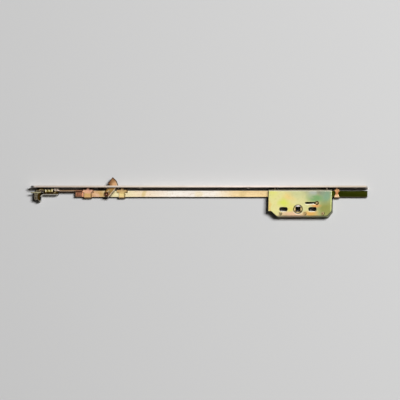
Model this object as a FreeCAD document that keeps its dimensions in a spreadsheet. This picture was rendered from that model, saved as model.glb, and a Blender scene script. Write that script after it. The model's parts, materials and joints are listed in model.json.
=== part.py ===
import FreeCAD, Part
import math
import os
import Sketcher

# Window espagnolette, lying flat on its side, in millimetres.
# X runs along the faceplate, Y points out of the faceplate's front, Z is up.
# The origin is on the spindle axis, in the plane that the part rests on.

Vector = FreeCAD.Vector
doc = FreeCAD.newDocument("espagnolette")
sheet = doc.addObject("Spreadsheet::Sheet", "Sizes")

sizes = {
    # faceplate
    "plate_reach_left": 399.0,
    "plate_reach_right": 101.0,
    "plate_width": 16.0,
    "plate_thickness": 2.5,
    "backset": 35.0,
    "screw_inset_left": 164.0,
    "screw_inset_right": 16.0,
    "screw_level": 8.7,
    "screw_hole_radius": 2.15,
    "screw_sink_radius": 4.1,
    "seat_play": 0.05,
    "stake_short": 0.1,
    "rivet_edge": 0.5,
    # case
    "case_reach_left": 44.8,
    "case_reach_right": 49.8,
    "case_drop": 10.2,
    "case_gap": 2.4,
    "case_back": 1.0,
    "case_depth": 14.0,
    "case_wall": 1.5,
    "cover_thickness": 1.5,
    "case_bend": 3.7,
    "case_corner_height": 7.8,
    "case_corner_left": 9.0,
    "case_corner_right": 5.8,
    "case_notch": 4.5,
    "case_rivet_radius": 1.6,
    "case_rivet_head": 2.7,
    "case_rivet_rise": 0.9,
    "case_rivet_cup": 1.1,
    "case_rivet_cup_depth": 0.7,
    "case_rivet_left_x": 25.8,
    "case_rivet_middle_x": 10.5,
    "case_rivet_right_x": 37.2,
    "case_rivet_drop": 6.45,
    "case_spacer_radius": 2.15,
    "stud_left_x": 36.0,
    "stud_right_x": 41.0,
    "stud_level": 8.7,
    "stud_radius": 2.0,
    "stud_collar": 3.2,
    "stud_head": 2.6,
    "stud_head_rise": 1.0,
    # handle screws and spindle
    "handle_screw_spacing": 43.0,
    "handle_slot_length": 12.0,
    "handle_slot_width": 6.5,
    "sleeve_wall": 0.9,
    "spindle_square": 7.0,
    "square_entry": 0.6,
    "hub_bearing_radius": 6.7,
    "hub_core_radius": 7.9,
    "hub_proud": 0.4,
    "hub_entry": 1.0,
    "bearing_gap": 0.06,
    "running_gap": 0.3,
    "gear_module": 1.25,
    "gear_teeth": 16,
    "gear_width": 4.4,
    "tooth_play": 0.24,
    "pressure_angle": 20.0,
    # rods and slide
    "rod_level": 3.0,
    "rod_thickness": 3.0,
    "rod_height": 9.0,
    "rod_gap": 3.5,
    "rod_end_radius": 2.0,
    "left_rod_gap": 25.7,
    "left_rod_inner": 12.0,
    "right_rod_inner": 16.0,
    "slide_thickness": 5.0,
    "slide_reach_left": 27.0,
    "slide_reach_right": 34.0,
    "slide_shoulder": 10.0,
    "slide_head_gap": 1.8,
    "slide_edge": 1.0,
    "slide_flank": 4.0,
    "slide_below_rod": 0.6,
    "slide_ear_rise": 1.4,
    "slide_ear_below_rod": 2.0,
    "rack_teeth": 7,
    "rod_rivet_radius": 1.5,
    "rod_rivet_head": 2.6,
    "rod_rivet_rise": 1.0,
    "rod_rivet_edge": 5.0,
    "rod_rivet_spacing": 7.0,
    "guide_pin_x": 28.1,
    "guide_pin_y": 9.25,
    "guide_pin_radius": 1.4,
    "guide_pin_head": 2.95,
    "guide_pin_rise": 0.7,
    "guide_pin_lift": 0.2,
    "guide_pin_cup": 1.7,
    "guide_pin_cup_depth": 0.5,
    "guide_slot_play": 0.2,
    "guide_ear_radius": 3.0,
    "rail_height": 5.0,
    "rail_end_gap": 8.0,
    # straps round the rods
    "strap_thickness": 1.5,
    "strap_bar_width": 16.4,
    "strap_bar_height": 6.6,
    "strap_bar_gap": 2.2,
    "strap_left_inset": 18.7,
    "strap_left_stem": 11.7,
    "strap_middle_offset": 22.4,
    "strap_middle_stem": 9.6,
    "strap_right_offset": 6.2,
    "strap_right_bar": 7.2,
    "strap_right_waist": 3.4,
    "strap_right_shoulder": 3.0,
    "strap_right_heel": 1.5,
    "strap_fold": 1.2,
    "strap_tenon_width": 5.0,
    "strap_tenon_short": 0.2,
    # hook
    "hook_offset": 28.1,
    "hook_pivot_drop": 9.7,
    "hook_level": 8.1,
    "hook_thickness": 3.0,
    "hook_swing": 50.0,
    "hook_pivot_radius": 1.8,
    "hook_pin_reach": 4.8,
    "hook_pin_angle": 45.0,
    "hook_pin_radius": 1.0,
    "hook_slot_play": 0.12,
    "hook_washer_radius": 3.4,
    "hook_rivet_head": 3.6,
    "hook_rivet_tail": 2.4,
    "hook_rivet_rise": 1.0,
    "hook_rivet_foot": 0.8,
    "hook_rivet_cup": 1.9,
    "hook_rivet_cup_depth": 0.9,
    "hook_play": 0.1,
    "hook_window_play": 0.7,
    "cam_plate_edge": 1.2,
    "cam_plate_gap": 0.6,
    # corner unit
    "band_thickness": 1.6,
    "band_width": 7.6,
    "band_run": 4.0,
    "band_drop": 1.4,
    "band_lap": 10.0,
    "band_flange_edge": 0.4,
    "band_rivet_edge": 2.6,
    "band_rivet_radius": 1.2,
    "band_rivet_head": 1.9,
    "band_rivet_sink": 0.6,
    "corner_inset": 19.0,
    "corner_radius": 8.0,
    "corner_length": 23.0,
    "corner_floor": 1.5,
    "corner_block_drop": 6.0,
    "corner_wall": 0.7,
    "corner_play": 0.3,
    "corner_shelf_gap": 0.9,
    "corner_rise": 11.2,
    "corner_rivet_inset": 1.6,
    "corner_ear_width": 4.4,
    "corner_leg_drop": 16.4,
    "corner_leg_point": 2.6,
    "corner_leg_width": 4.3,
    "corner_leg_slant": 1.1,
    "corner_bevel": 3.0,
    "corner_shoulder": 3.7,
    "corner_slope": 6.0,
    "corner_side": 2.2,
    "corner_round": 1.5,
    "corner_roof": 9.7,
    "corner_bay_length": 6.6,
    "corner_bay_rim": 1.2,
    "corner_bay_depth": 3.0,
    "eyelet_length": 8.4,
    "eyelet_width": 3.7,
    "eyelet_rim": 1.0,
    "eyelet_rise": 0.8,
    "eyelet_sink": 0.5,
    "eyelet_tilt": 12.0,
    "leaf_tail": 0.8,
    "leaf_lift": 0.1,
    "leaf_lead": 0.3,
    "leaf_width": 3.8,
    "tongue_width": 4.6,
    "tongue_length": 9.4,
    "tongue_drop": 13.9,
    "tongue_eye_radius": 1.0,
    "tongue_eye_rise": 2.4,
    "tongue_head_length": 4.0,
    "tongue_plate_depth": 3.2,
    "tongue_shank_rise": 3.0,
    "splice_length": 11.2,
    "splice_height": 4.4,
    "splice_thickness": 1.2,
    "splice_teeth": 2,
    "splice_tooth_depth": 2.5,
    "splice_gap": 2.1,
    "splice_above_band": 1.3,
    "splice_bar": 2.0,
    "splice_bar_rise": 2.0,
    "clip_length": 6.5,
    "clip_over": 1.2,
    "clip_thickness": 1.0,
    "clip_above_band": 1.6,
    "clip_reach": 3.1,
    "clip_prong": 2.9,
    "clip_prong_length": 2.0,
    "clip_leaf_width": 2.4,
    "clip_leaf_run": 3.7,
    "clip_leaf_drop": 4.0,
    "clip_back": 2.0,
    "lip_length": 4.1,
    "lip_lap": 4.5,
    "lip_thickness": 1.0,
    "lip_start": 4.5,
    "lip_rise": 0.5,
    "lip_height": 1.2,
    "lip_end": 0.4,
}

for row, (alias, number) in enumerate(sizes.items(), 1):
    sheet.set("A%d" % row, alias.replace("_", " "))
    sheet.set("B%d" % row, str(number))
    sheet.setAlias("B%d" % row, alias)
doc.recompute()


class Size:
    # A number together with the sheet expression that it comes from.
    def __init__(self, value, text):
        self.value = float(value)
        self.text = text

    def __add__(self, other):
        return merge(self, other, "+", self.value + plain(other))

    def __sub__(self, other):
        return merge(self, other, "-", self.value - plain(other))

    def __mul__(self, other):
        return merge(self, other, "*", self.value * plain(other))

    def __truediv__(self, other):
        return merge(self, other, "/", self.value / plain(other))

    def __neg__(self):
        return Size(-self.value, "(-1 * %s)" % self.text)


def plain(item):
    return item.value if isinstance(item, Size) else float(item)


def wording(item):
    return item.text if isinstance(item, Size) else "%r" % float(item)


def merge(first, second, sign, value):
    return Size(value, "(%s %s %s)" % (wording(first), sign, wording(second)))


def bind(target, prop, size):
    # Sets a property and ties it to the sheet when the size comes from there.
    if isinstance(size, Size):
        target.setExpression(prop, size.text)


class Sheet:
    pass


s = Sheet()
for alias in sizes:
    setattr(s, alias, Size(sheet.get(alias), "Sizes." + alias))

# Places that several pieces share.
zero = Size(0.0, "0")
corner_x = s.plate_reach_left - s.corner_inset
corner_end_x = corner_x - s.corner_length
band_reach = corner_end_x + s.band_run
left_rod_reach = corner_end_x - s.left_rod_gap
strap_left_x = left_rod_reach - s.strap_left_inset
hook_pivot_x = strap_left_x - s.hook_offset
strap_middle_x = hook_pivot_x - s.strap_middle_offset
strap_right_x = s.case_reach_right + s.strap_right_offset
screw_left_x = s.screw_inset_left - s.plate_reach_left
screw_right_x = s.plate_reach_right - s.screw_inset_right
plate_back = s.backset - s.plate_thickness
hook_pivot_y = plate_back - s.hook_pivot_drop
rod_top = plate_back - s.rod_gap
rod_bottom = rod_top - s.rod_height
rod_face = s.rod_level + s.rod_thickness
slide_level = rod_face
slide_face = slide_level + s.slide_thickness
case_head = plate_back - s.case_gap
slide_head = case_head - s.case_wall - s.slide_head_gap
case_front = s.case_back + s.case_depth
cover_face = s.case_back + s.cover_thickness
shell_inside = case_front - s.case_wall
gear_level = slide_level + s.running_gap
pitch_radius = s.gear_module * s.gear_teeth / 2
tooth_pitch = s.gear_module * math.pi
root_line = pitch_radius + s.gear_module * 1.25
stroke = pitch_radius * (math.pi / 2)
strap_front = rod_face + s.running_gap
strap_back = s.rod_level - s.running_gap - s.strap_thickness
strap_foot = rod_bottom - s.running_gap - s.strap_thickness
strap_bar_top = plate_back - s.strap_bar_gap
band_bottom = rod_top - s.band_drop
band_top = band_bottom + s.band_thickness
band_level = s.rod_level + s.running_gap
corner_y = band_bottom + s.band_thickness / 2 - s.corner_radius
corner_base = strap_back
corner_floor_face = corner_base + s.corner_floor
corner_shelf = rod_face + s.corner_shelf_gap
corner_rivet_level = (corner_shelf + s.corner_rise) / 2
corner_rivet_x = -corner_x - s.corner_rivet_inset
rivet_line = (rod_bottom + slide_head) / 2
band_rivet_line = (rod_bottom + band_bottom) / 2
pin_angle = math.radians(sheet.get("hook_pin_angle"))
pin_angle_end = pin_angle - math.radians(sheet.get("hook_swing"))
pin_x = s.hook_pin_reach * math.cos(pin_angle) - hook_pivot_x
pin_y = hook_pivot_y + s.hook_pin_reach * math.sin(pin_angle)
cam_end_x = s.hook_pin_reach * math.cos(pin_angle_end) - hook_pivot_x - stroke
cam_end_y = hook_pivot_y + s.hook_pin_reach * math.sin(pin_angle_end)

# How far a cutting shape runs past what it cuts.
overcut = 1.0
# The floor of a rivet's dished middle against its rim.
cup_taper = 0.6


# Helpers for bodies and sketches.

def new_body(name):
    body = doc.addObject("PartDesign::Body", name)
    body.Label = name
    return body


def new_sketch(body, plane, offset=zero):
    sketch = body.newObject("Sketcher::SketchObject", "sketch")
    for feature in body.Origin.OriginFeatures:
        if feature.Role == plane:
            sketch.AttachmentSupport = [(feature, "")]
    sketch.MapMode = "FlatFace"
    sketch.AttachmentOffset = FreeCAD.Placement(Vector(0, 0, plain(offset)), FreeCAD.Rotation())
    bind(sketch, "AttachmentOffset.Base.z", offset)
    return sketch


def fix(sketch, geometry, point, x=None, y=None):
    # Holds a point of the sketch at a distance from the origin.
    for kind, size in (("DistanceX", x), ("DistanceY", y)):
        if size is not None:
            index = sketch.addConstraint(
                Sketcher.Constraint(kind, -1, 1, geometry, point, plain(size))
            )
            bind(sketch, "Constraints[%d]" % index, size)


def outline(sketch, corners):
    # A closed outline. Each corner is (x, y), or (x, y, centre x, centre y, turn)
    # when an arc leads to it, with turn 1 for anticlockwise and -1 for clockwise.
    links = []
    for index, corner in enumerate(corners):
        before = corners[index - 1]
        start = Vector(plain(before[0]), plain(before[1]), 0)
        end = Vector(plain(corner[0]), plain(corner[1]), 0)
        if len(corner) == 2:
            number = sketch.addGeometry(Part.LineSegment(start, end), False)
            links.append((number, 1, 2))
            continue
        centre = Vector(plain(corner[2]), plain(corner[3]), 0)
        circle = Part.Circle(centre, Vector(0, 0, 1), (start - centre).Length)
        first = math.atan2(start.y - centre.y, start.x - centre.x)
        last = math.atan2(end.y - centre.y, end.x - centre.x)
        if corner[4] < 0:
            first, last = last, first
        if last < first:
            last += 2 * math.pi
        number = sketch.addGeometry(Part.ArcOfCircle(circle, first, last), False)
        links.append((number, 1, 2) if corner[4] > 0 else (number, 2, 1))
        if abs(end.y - start.y) >= abs(end.x - start.x):
            fix(sketch, number, 3, x=corner[2])
        else:
            fix(sketch, number, 3, y=corner[3])
    for index, corner in enumerate(corners):
        number, _, end = links[index]
        following, start, _ = links[(index + 1) % len(corners)]
        sketch.addConstraint(Sketcher.Constraint("Coincident", number, end, following, start))
        fix(sketch, number, end, corner[0], corner[1])


def rectangle(sketch, left, bottom, right, top):
    outline(sketch, [(right, bottom), (right, top), (left, top), (left, bottom)])


def ring(sketch, x, y, radius):
    centre = Vector(plain(x), plain(y), 0)
    number = sketch.addGeometry(Part.Circle(centre, Vector(0, 0, 1), plain(radius)), False)
    index = sketch.addConstraint(Sketcher.Constraint("Radius", number, plain(radius)))
    bind(sketch, "Constraints[%d]" % index, radius)
    fix(sketch, number, 3, x, y)


def oval(sketch, left, right, y, radius):
    # A slot along the sketch's x with its end centres at left and right.
    outline(sketch, [
        (right, y - radius),
        (right, y + radius, right, y, 1),
        (left, y + radius),
        (left, y - radius, left, y, 1),
    ])


def arc_slot(sketch, x, y, reach, first, last, half):
    # A slot that follows an arc about (x, y) between two angles.
    def spot(radius, angle):
        return x + radius * math.cos(angle), y + radius * math.sin(angle)

    outline(sketch, [
        (*spot(reach + half, last), x, y, 1),
        (*spot(reach - half, last), *spot(reach, last), 1),
        (*spot(reach - half, first), x, y, -1),
        (*spot(reach + half, first), *spot(reach, first), 1),
    ])


def pad(body, sketch, length, reverse=False):
    feature = body.newObject("PartDesign::Pad", "pad")
    feature.Profile = sketch
    feature.Length = plain(length)
    feature.Reversed = reverse
    bind(feature, "Length", length)
    return feature


def pocket(body, sketch, length=None, reverse=False):
    feature = body.newObject("PartDesign::Pocket", "pocket")
    feature.Profile = sketch
    if length is None:
        feature.Type = "ThroughAll"
        feature.SideType = "Symmetric"
    else:
        feature.Length = plain(length)
        feature.Reversed = reverse
        bind(feature, "Length", length)
    return feature


# Helpers for primitives.

def place(item, x, y, z, along="Z"):
    turn = {"Z": (0, 0), "Y": (1, -90), "X": (2, 90)}[along]
    axis = {0: Vector(0, 0, 1), 1: Vector(1, 0, 0), 2: Vector(0, 1, 0)}[turn[0]]
    base = Vector(plain(x), plain(y), plain(z))
    item.Placement = FreeCAD.Placement(base, FreeCAD.Rotation(axis, turn[1]))
    for letter, size in (("x", x), ("y", y), ("z", z)):
        bind(item, "Placement.Base." + letter, size)


def box(x, y, z, length, width, height):
    item = doc.addObject("Part::Box", "block")
    for prop, size in (("Length", length), ("Width", width), ("Height", height)):
        setattr(item, prop, plain(size))
        bind(item, prop, size)
    place(item, x, y, z)
    return item


def rod(x, y, z, radius, height, along="Z"):
    item = doc.addObject("Part::Cylinder", "round")
    item.Radius = plain(radius)
    item.Height = plain(height)
    bind(item, "Radius", radius)
    bind(item, "Height", height)
    place(item, x, y, z, along)
    return item


def cone(x, y, z, radius, top, height, along="Z"):
    item = doc.addObject("Part::Cone", "cone")
    for prop, size in (("Radius1", radius), ("Radius2", top), ("Height", height)):
        setattr(item, prop, plain(size))
        bind(item, prop, size)
    place(item, x, y, z, along)
    return item


def join(items, name="joined"):
    item = doc.addObject("Part::MultiFuse", name)
    item.Shapes = items
    item.Refine = True
    return item


def cut(base, tool, name="cut"):
    item = doc.addObject("Part::Cut", name)
    item.Base = base
    item.Tool = tool
    return item


def cup(x, y, face, radius, depth):
    # The dished middle of a rivet head, from its face down.
    return cone(x, y, face - depth, radius * cup_taper, radius, depth)


def flush_rivet(x, y, low, high, radius, wide, depth):
    # A rivet along Z whose two ends fill countersinks.
    return join([
        cone(x, y, low, wide, radius, depth),
        rod(x, y, low, radius, high - low),
        cone(x, y, high - depth, radius, wide, depth),
    ])


def group(items, name):
    item = doc.addObject("Part::Compound", name)
    item.Links = items
    return item


def solid(name, shape):
    item = doc.addObject("Part::Feature", name)
    item.Shape = shape
    return item


# Helpers for shapes set by formula.

def point(x, y, z=0.0):
    return Vector(plain(x), plain(y), plain(z))


def rounded(corners, level, height):
    # A plate of the given height whose outline has (x, y, radius) corners.
    edges = []
    spots = []
    count = len(corners)
    for index in range(count):
        here = point(corners[index][0], corners[index][1])
        back = point(corners[index - 1][0], corners[index - 1][1]) - here
        ahead = point(corners[(index + 1) % count][0], corners[(index + 1) % count][1]) - here
        radius = plain(corners[index][2])
        if radius <= 0:
            spots.append((here, None, here))
            continue
        half = back.getAngle(ahead) / 2
        reach = radius / math.tan(half)
        middle = (back.normalize() + ahead.normalize()).normalize()
        top = here + middle * (radius / math.sin(half) - radius)
        spots.append((here + back * reach, top, here + ahead * reach))
    for index in range(count):
        arrive, top, leave = spots[index]
        if top is not None:
            edges.append(Part.Arc(arrive, top, leave).toShape())
        following = spots[(index + 1) % count][0]
        if (following - leave).Length > 1e-6:
            edges.append(Part.LineSegment(leave, following).toShape())
    return extrude(edges, level, height)


def extrude(edges, level, height):
    face = Part.Face(Part.Wire(Part.__sortEdges__(edges)))
    face.translate(Vector(0, 0, plain(level)))
    return face.extrude(Vector(0, 0, plain(height)))


def turned(x, y, level, steps, along=Vector(0, 0, 1)):
    # A stack of discs given as (radius below, radius above, height).
    base = point(x, y, level)
    stack = []
    for below, above, height in steps:
        if abs(plain(below) - plain(above)) < 1e-9:
            stack.append(Part.makeCylinder(plain(below), plain(height), base, along))
        else:
            stack.append(Part.makeCone(plain(below), plain(above), plain(height), base, along))
        base = base + along * plain(height)
    body = stack[0]
    for piece in stack[1:]:
        body = body.fuse(piece)
    return body.removeSplitter()


# The faceplate, with its full-round end, screw holes, hook window and seats.

def make_faceplate():
    body = new_body("faceplate")
    half = s.plate_width / 2
    sketch = new_sketch(body, "XZ_Plane", -plate_back)
    outline(sketch, [
        (s.plate_reach_right, zero),
        (s.plate_reach_right, s.plate_width),
        (half - s.plate_reach_left, s.plate_width),
        (half - s.plate_reach_left, zero, half - s.plate_reach_left, half, 1),
    ])
    pad(body, sketch, s.plate_thickness, reverse=True)
    cuts = new_sketch(body, "XZ_Plane", -plate_back)
    window_low = s.hook_level - s.hook_window_play
    window_high = s.hook_level + s.hook_thickness + s.hook_window_play
    low, high = hook_window_ends()
    rectangle(cuts, low, window_low, high, window_high)
    seats = [
        (-strap_left_x, s.strap_tenon_width),
        (-strap_middle_x, s.strap_tenon_width),
        (strap_right_x, s.strap_right_waist),
    ]
    play = s.seat_play
    for x, width in seats:
        for level in (strap_front, strap_back):
            rectangle(
                cuts,
                x - width / 2 - play, level - play,
                x + width / 2 + play, level + s.strap_thickness + play,
            )
    for x in (-s.stud_left_x, s.stud_right_x):
        ring(cuts, x, s.stud_level, s.stud_radius)
    ring(cuts, corner_rivet_x, corner_rivet_level, s.band_rivet_radius)
    pocket(body, cuts)
    doc.recompute()
    holes = new_sketch(body, "XZ_Plane", -s.backset)
    for x in (screw_left_x, (screw_left_x + screw_right_x) / 2, screw_right_x):
        ring(holes, x, s.screw_level, s.screw_hole_radius)
    doc.recompute()
    hole = body.newObject("PartDesign::Hole", "screw_holes")
    hole.Profile = holes
    hole.DepthType = "ThroughAll"
    hole.Reversed = True
    hole.setExpression("Diameter", (s.screw_hole_radius * 2).text)
    hole.HoleCutType = "Countersink"
    hole.HoleCutCustomValues = True
    hole.setExpression("HoleCutDiameter", (s.screw_sink_radius * 2).text)
    hole.HoleCutCountersinkAngle = 90
    doc.recompute()
    return body


# The hook: a lever on the moving rod with an arrow head, turned by a pin in a fixed cam slot.

def hook_corners():
    # Corners relative to the pivot, in the rest position, with their radii.
    return [
        (8.1, 25.9, 0.3),
        (1.2, 17.1, 0.4),
        (2.2, 16.1, 0.3),
        (3.5, 14.6, 0.8),
        (3.5, 10.4, 2.0),
        (-1.0, 7.2, 2.5),
        (-4.4, 1.6, 3.0),
        (-3.2, -3.6, 3.0),
        (3.6, -4.6, 1.2),
        (13.0, 7.8, 4.0),
        (16.8, 11.6, 2.0),
        (15.8, 16.1, 6.0),
        (13.6, 20.9, 6.0),
    ]


def hook_turn(share):
    # How far the hook has swung, in radians, at a share of the stroke.
    return math.radians(plain(s.hook_swing)) * share


def cam_line(count):
    # Where the hook's pin lies over the fixed plate as the rod travels.
    line = []
    for index in range(count):
        share = index / (count - 1)
        pivot = Vector(-plain(hook_pivot_x) - plain(stroke) * share, plain(hook_pivot_y), 0)
        line.append(pivot + polar(plain(s.hook_pin_reach), pin_angle - hook_turn(share)))
    return line


def hook_window_ends():
    # The window reaches as far as the hook does inside the faceplate.
    found = []
    margin = 0.3
    steps = 40
    for step in range(steps + 1):
        turn = -hook_turn(step / steps)
        shift = -plain(hook_pivot_x) - plain(stroke) * step / steps
        corners = []
        for x, y, _ in hook_corners():
            corners.append((
                shift + x * math.cos(turn) - y * math.sin(turn),
                plain(hook_pivot_y) + x * math.sin(turn) + y * math.cos(turn),
            ))
        for index, (x, y) in enumerate(corners):
            x_before, y_before = corners[index - 1]
            for part in range(21):
                here = x_before + (x - x_before) * part / 20
                there = y_before + (y - y_before) * part / 20
                if plain(plate_back) - margin <= there <= plain(s.backset) + margin:
                    found.append(here)
    play = plain(s.hook_window_play)
    return min(found) - play, max(found) + play


def make_hook():
    plate = rounded(hook_corners(), zero, s.hook_thickness)
    plate.translate(point(-hook_pivot_x, hook_pivot_y, s.hook_level))
    depth = plain(s.hook_thickness) + overcut * 2
    below = s.hook_level - overcut
    pivot_hole = Part.makeCylinder(
        plain(s.hook_pivot_radius + s.bearing_gap), depth, point(-hook_pivot_x, hook_pivot_y, below),
    )
    pin_hole = Part.makeCylinder(plain(s.hook_pin_radius), depth, point(pin_x, pin_y, below))
    return solid("hook", plate.cut(pivot_hole).cut(pin_hole))


def make_hook_rivet():
    # Tubular rivet: a countersunk foot flush with the rod, a shank and a rolled ring of a head.
    shank = s.hook_level + s.hook_thickness + s.hook_play - s.rod_level - s.hook_rivet_foot
    body = turned(-hook_pivot_x, hook_pivot_y, s.rod_level, [
        (s.hook_rivet_tail, s.hook_pivot_radius, s.hook_rivet_foot),
        (s.hook_pivot_radius, s.hook_pivot_radius, shank),
        (s.hook_rivet_head, s.hook_rivet_head, s.hook_rivet_rise / 2),
        (s.hook_rivet_head, s.hook_rivet_head - s.rivet_edge, s.hook_rivet_rise / 2),
    ])
    face = s.rod_level + s.hook_rivet_foot + shank + s.hook_rivet_rise
    dimple = Part.makeCone(
        plain(s.hook_rivet_cup) * cup_taper, plain(s.hook_rivet_cup), plain(s.hook_rivet_cup_depth),
        point(-hook_pivot_x, hook_pivot_y, face - s.hook_rivet_cup_depth), Vector(0, 0, 1),
    )
    return solid("hook_pivot_rivet", body.cut(dimple))


def make_hook_washer():
    outer = rod(
        -hook_pivot_x, hook_pivot_y, rod_face,
        s.hook_washer_radius, s.hook_level - rod_face - s.hook_play,
    )
    inner = rod(
        -hook_pivot_x, hook_pivot_y, rod_face - overcut,
        s.hook_pivot_radius, s.hook_level - rod_face + overcut * 2,
    )
    return cut(outer, inner, "hook_spacer_washer")


def cam_slot():
    # The slot's sides lie at the same distance on either side of the pin's path.
    line = cam_line(9)
    half = plain(s.hook_pin_radius + s.hook_slot_play)
    sides = ([], [])
    for index, here in enumerate(line):
        ahead = line[min(index + 1, len(line) - 1)] - line[max(index - 1, 0)]
        across = Vector(-ahead.y, ahead.x, 0).normalize() * half
        sides[0].append(here + across)
        sides[1].append(here - across)
    edges = []
    for side in sides:
        curve = Part.BSplineCurve()
        curve.interpolate(side)
        edges.append(curve.toShape())
    for end, beside in ((0, 1), (-1, -2)):
        out = (line[end] - line[beside]).normalize() * half
        edges.append(Part.Arc(sides[0][end], line[end] + out, sides[1][end]).toShape())
    return extrude(edges, strap_back - overcut, s.strap_thickness + overcut * 2)


def make_cam_plate():
    # An angle behind the rod: a plate with the cam slot and a flange on the faceplate.
    body = new_body("cam_plate_blank")
    margin = s.hook_pin_radius + s.hook_slot_play + s.cam_plate_edge
    left = cam_end_x - margin
    right = pin_x + margin
    sketch = new_sketch(body, "XY_Plane", strap_back)
    rectangle(sketch, left, cam_end_y - margin, right, plate_back)
    pad(body, sketch, s.strap_thickness)
    flange = new_sketch(body, "XY_Plane", strap_back)
    rectangle(flange, left, plate_back - s.strap_thickness, right, plate_back)
    pad(body, flange, s.hook_level - s.hook_window_play - s.cam_plate_gap - strap_back)
    return cut(body, solid("cam_slot", cam_slot()), "hook_guide_bracket")


def make_hook_guide_pin():
    # Riveted flush in the hook, it reaches through the rod into the cam slot.
    low = strap_back + s.stake_short
    tip = cone(
        pin_x, pin_y, low, s.hook_pin_radius - s.rivet_edge, s.hook_pin_radius, s.rivet_edge,
    )
    shank = rod(
        pin_x, pin_y, low + s.rivet_edge, s.hook_pin_radius,
        s.hook_level + s.hook_thickness - low - s.rivet_edge,
    )
    return join([tip, shank], "hook_guide_pin")


# The straps that hold the rods to the faceplate, bent round the rod.

def make_strap(name, x, bar, stem, waist=None):
    body = new_body(name)
    sketch = new_sketch(body, "YZ_Plane", x - bar / 2)
    low = strap_foot
    inner = strap_foot + s.strap_thickness
    outline(sketch, [
        (plate_back, strap_back),
        (plate_back, strap_back + s.strap_thickness),
        (inner, strap_back + s.strap_thickness),
        (inner, strap_front),
        (plate_back, strap_front),
        (plate_back, strap_front + s.strap_thickness),
        (low, strap_front + s.strap_thickness),
        (low, strap_back),
    ])
    pad(body, sketch, bar)
    sides = new_sketch(body, "XY_Plane", strap_back)
    reach = low - overcut
    shoulder = plate_back - s.strap_bar_height
    tenon = s.strap_tenon_width if waist is None else waist
    for sign in (-1, 1):
        edge = x + bar / 2 * sign
        beyond = x + (bar / 2 + overcut) * sign
        neck = x + tenon / 2 * sign
        above = [
            (neck, strap_bar_top), (beyond, strap_bar_top),
            (beyond, plate_back + overcut), (neck, plate_back + overcut),
        ]
        outline(sides, above if sign > 0 else above[::-1])
        if waist is None:
            narrow = x + stem / 2 * sign
            corners = [(beyond, reach), (beyond, shoulder), (narrow, shoulder), (narrow, reach)]
        else:
            middle = (plate_back + low) / 2
            heel = low + s.strap_right_heel
            top = plate_back - s.strap_right_shoulder
            corners = [
                (beyond, heel), (beyond, top), (edge, top), (x + waist / 2 * sign, middle), (edge, heel),
            ]
        outline(sides, corners if sign > 0 else corners[::-1])
    pocket(body, sides)
    doc.recompute()
    tenons = new_sketch(body, "XZ_Plane", -plate_back)
    for level in (strap_front, strap_back):
        rectangle(tenons, x - tenon / 2, level, x + tenon / 2, level + s.strap_thickness)
    pad(body, tenons, s.plate_thickness - s.strap_tenon_short, reverse=True)
    doc.recompute()
    edges = []
    for index, edge in enumerate(body.Shape.Edges, 1):
        extent = edge.BoundBox
        at_fold = abs(extent.YMin - plain(low)) < 1e-6 and extent.YLength < 1e-6
        if at_fold and extent.ZLength < 1e-6:
            edges.append("Edge%d" % index)
    base = body.Tip
    fold = body.newObject("PartDesign::Fillet", "fold")
    fold.Base = (base, edges)
    fold.Radius = plain(s.strap_fold)
    bind(fold, "Radius", s.strap_fold)
    return body


# The drive rods, the slide and what joins them.

def make_left_rod():
    body = new_body("left_rod_blank")
    sketch = new_sketch(body, "XY_Plane", s.rod_level)
    left = -left_rod_reach
    right = -s.left_rod_inner
    radius = s.rod_end_radius
    outline(sketch, [
        (right, rod_bottom),
        (right, rod_top),
        (left, rod_top),
        (left, rod_bottom + radius),
        (left + radius, rod_bottom, left + radius, rod_bottom + radius, 1),
    ])
    ring(sketch, -hook_pivot_x, hook_pivot_y, s.hook_pivot_radius)
    arc_slot(
        sketch, -hook_pivot_x, hook_pivot_y, s.hook_pin_reach,
        pin_angle_end, pin_angle, s.hook_pin_radius + s.guide_slot_play,
    )
    for x in left_rivet_places():
        ring(sketch, x, rivet_line, s.rod_rivet_radius)
    pad(body, sketch, s.rod_thickness)
    sink = cone(
        -hook_pivot_x, hook_pivot_y, s.rod_level,
        s.hook_rivet_tail, s.hook_pivot_radius, s.hook_rivet_foot,
    )
    return cut(body, join([sink] + band_rivet_shapes()), "left_drive_rod")


def make_right_rod():
    body = new_body("right_drive_rod")
    sketch = new_sketch(body, "XY_Plane", s.rod_level)
    rectangle(sketch, s.right_rod_inner, rod_bottom, s.plate_reach_right, rod_top)
    for x in right_rivet_places():
        ring(sketch, x, rivet_line, s.rod_rivet_radius)
    pad(body, sketch, s.rod_thickness)
    return body


def left_rivet_places():
    first = s.rod_rivet_edge - s.slide_reach_left
    return [first, first + s.rod_rivet_spacing]


def right_rivet_places():
    last = s.slide_reach_right - s.rod_rivet_edge
    return [last - s.rod_rivet_spacing, last]


def band_rivet_places():
    left = s.band_rivet_edge - left_rod_reach
    return [left, left + s.band_lap - s.band_rivet_edge * 2]


def make_rod_rivets():
    rivets = []
    for x in left_rivet_places() + right_rivet_places():
        shank = rod(x, rivet_line, s.rod_level, s.rod_rivet_radius, slide_face - s.rod_level)
        head = cone(
            x, rivet_line, slide_face,
            s.rod_rivet_head, s.rod_rivet_head - s.rivet_edge, s.rod_rivet_rise,
        )
        rivets.append(join([shank, head]))
    return group(rivets, "rod_rivets")


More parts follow.
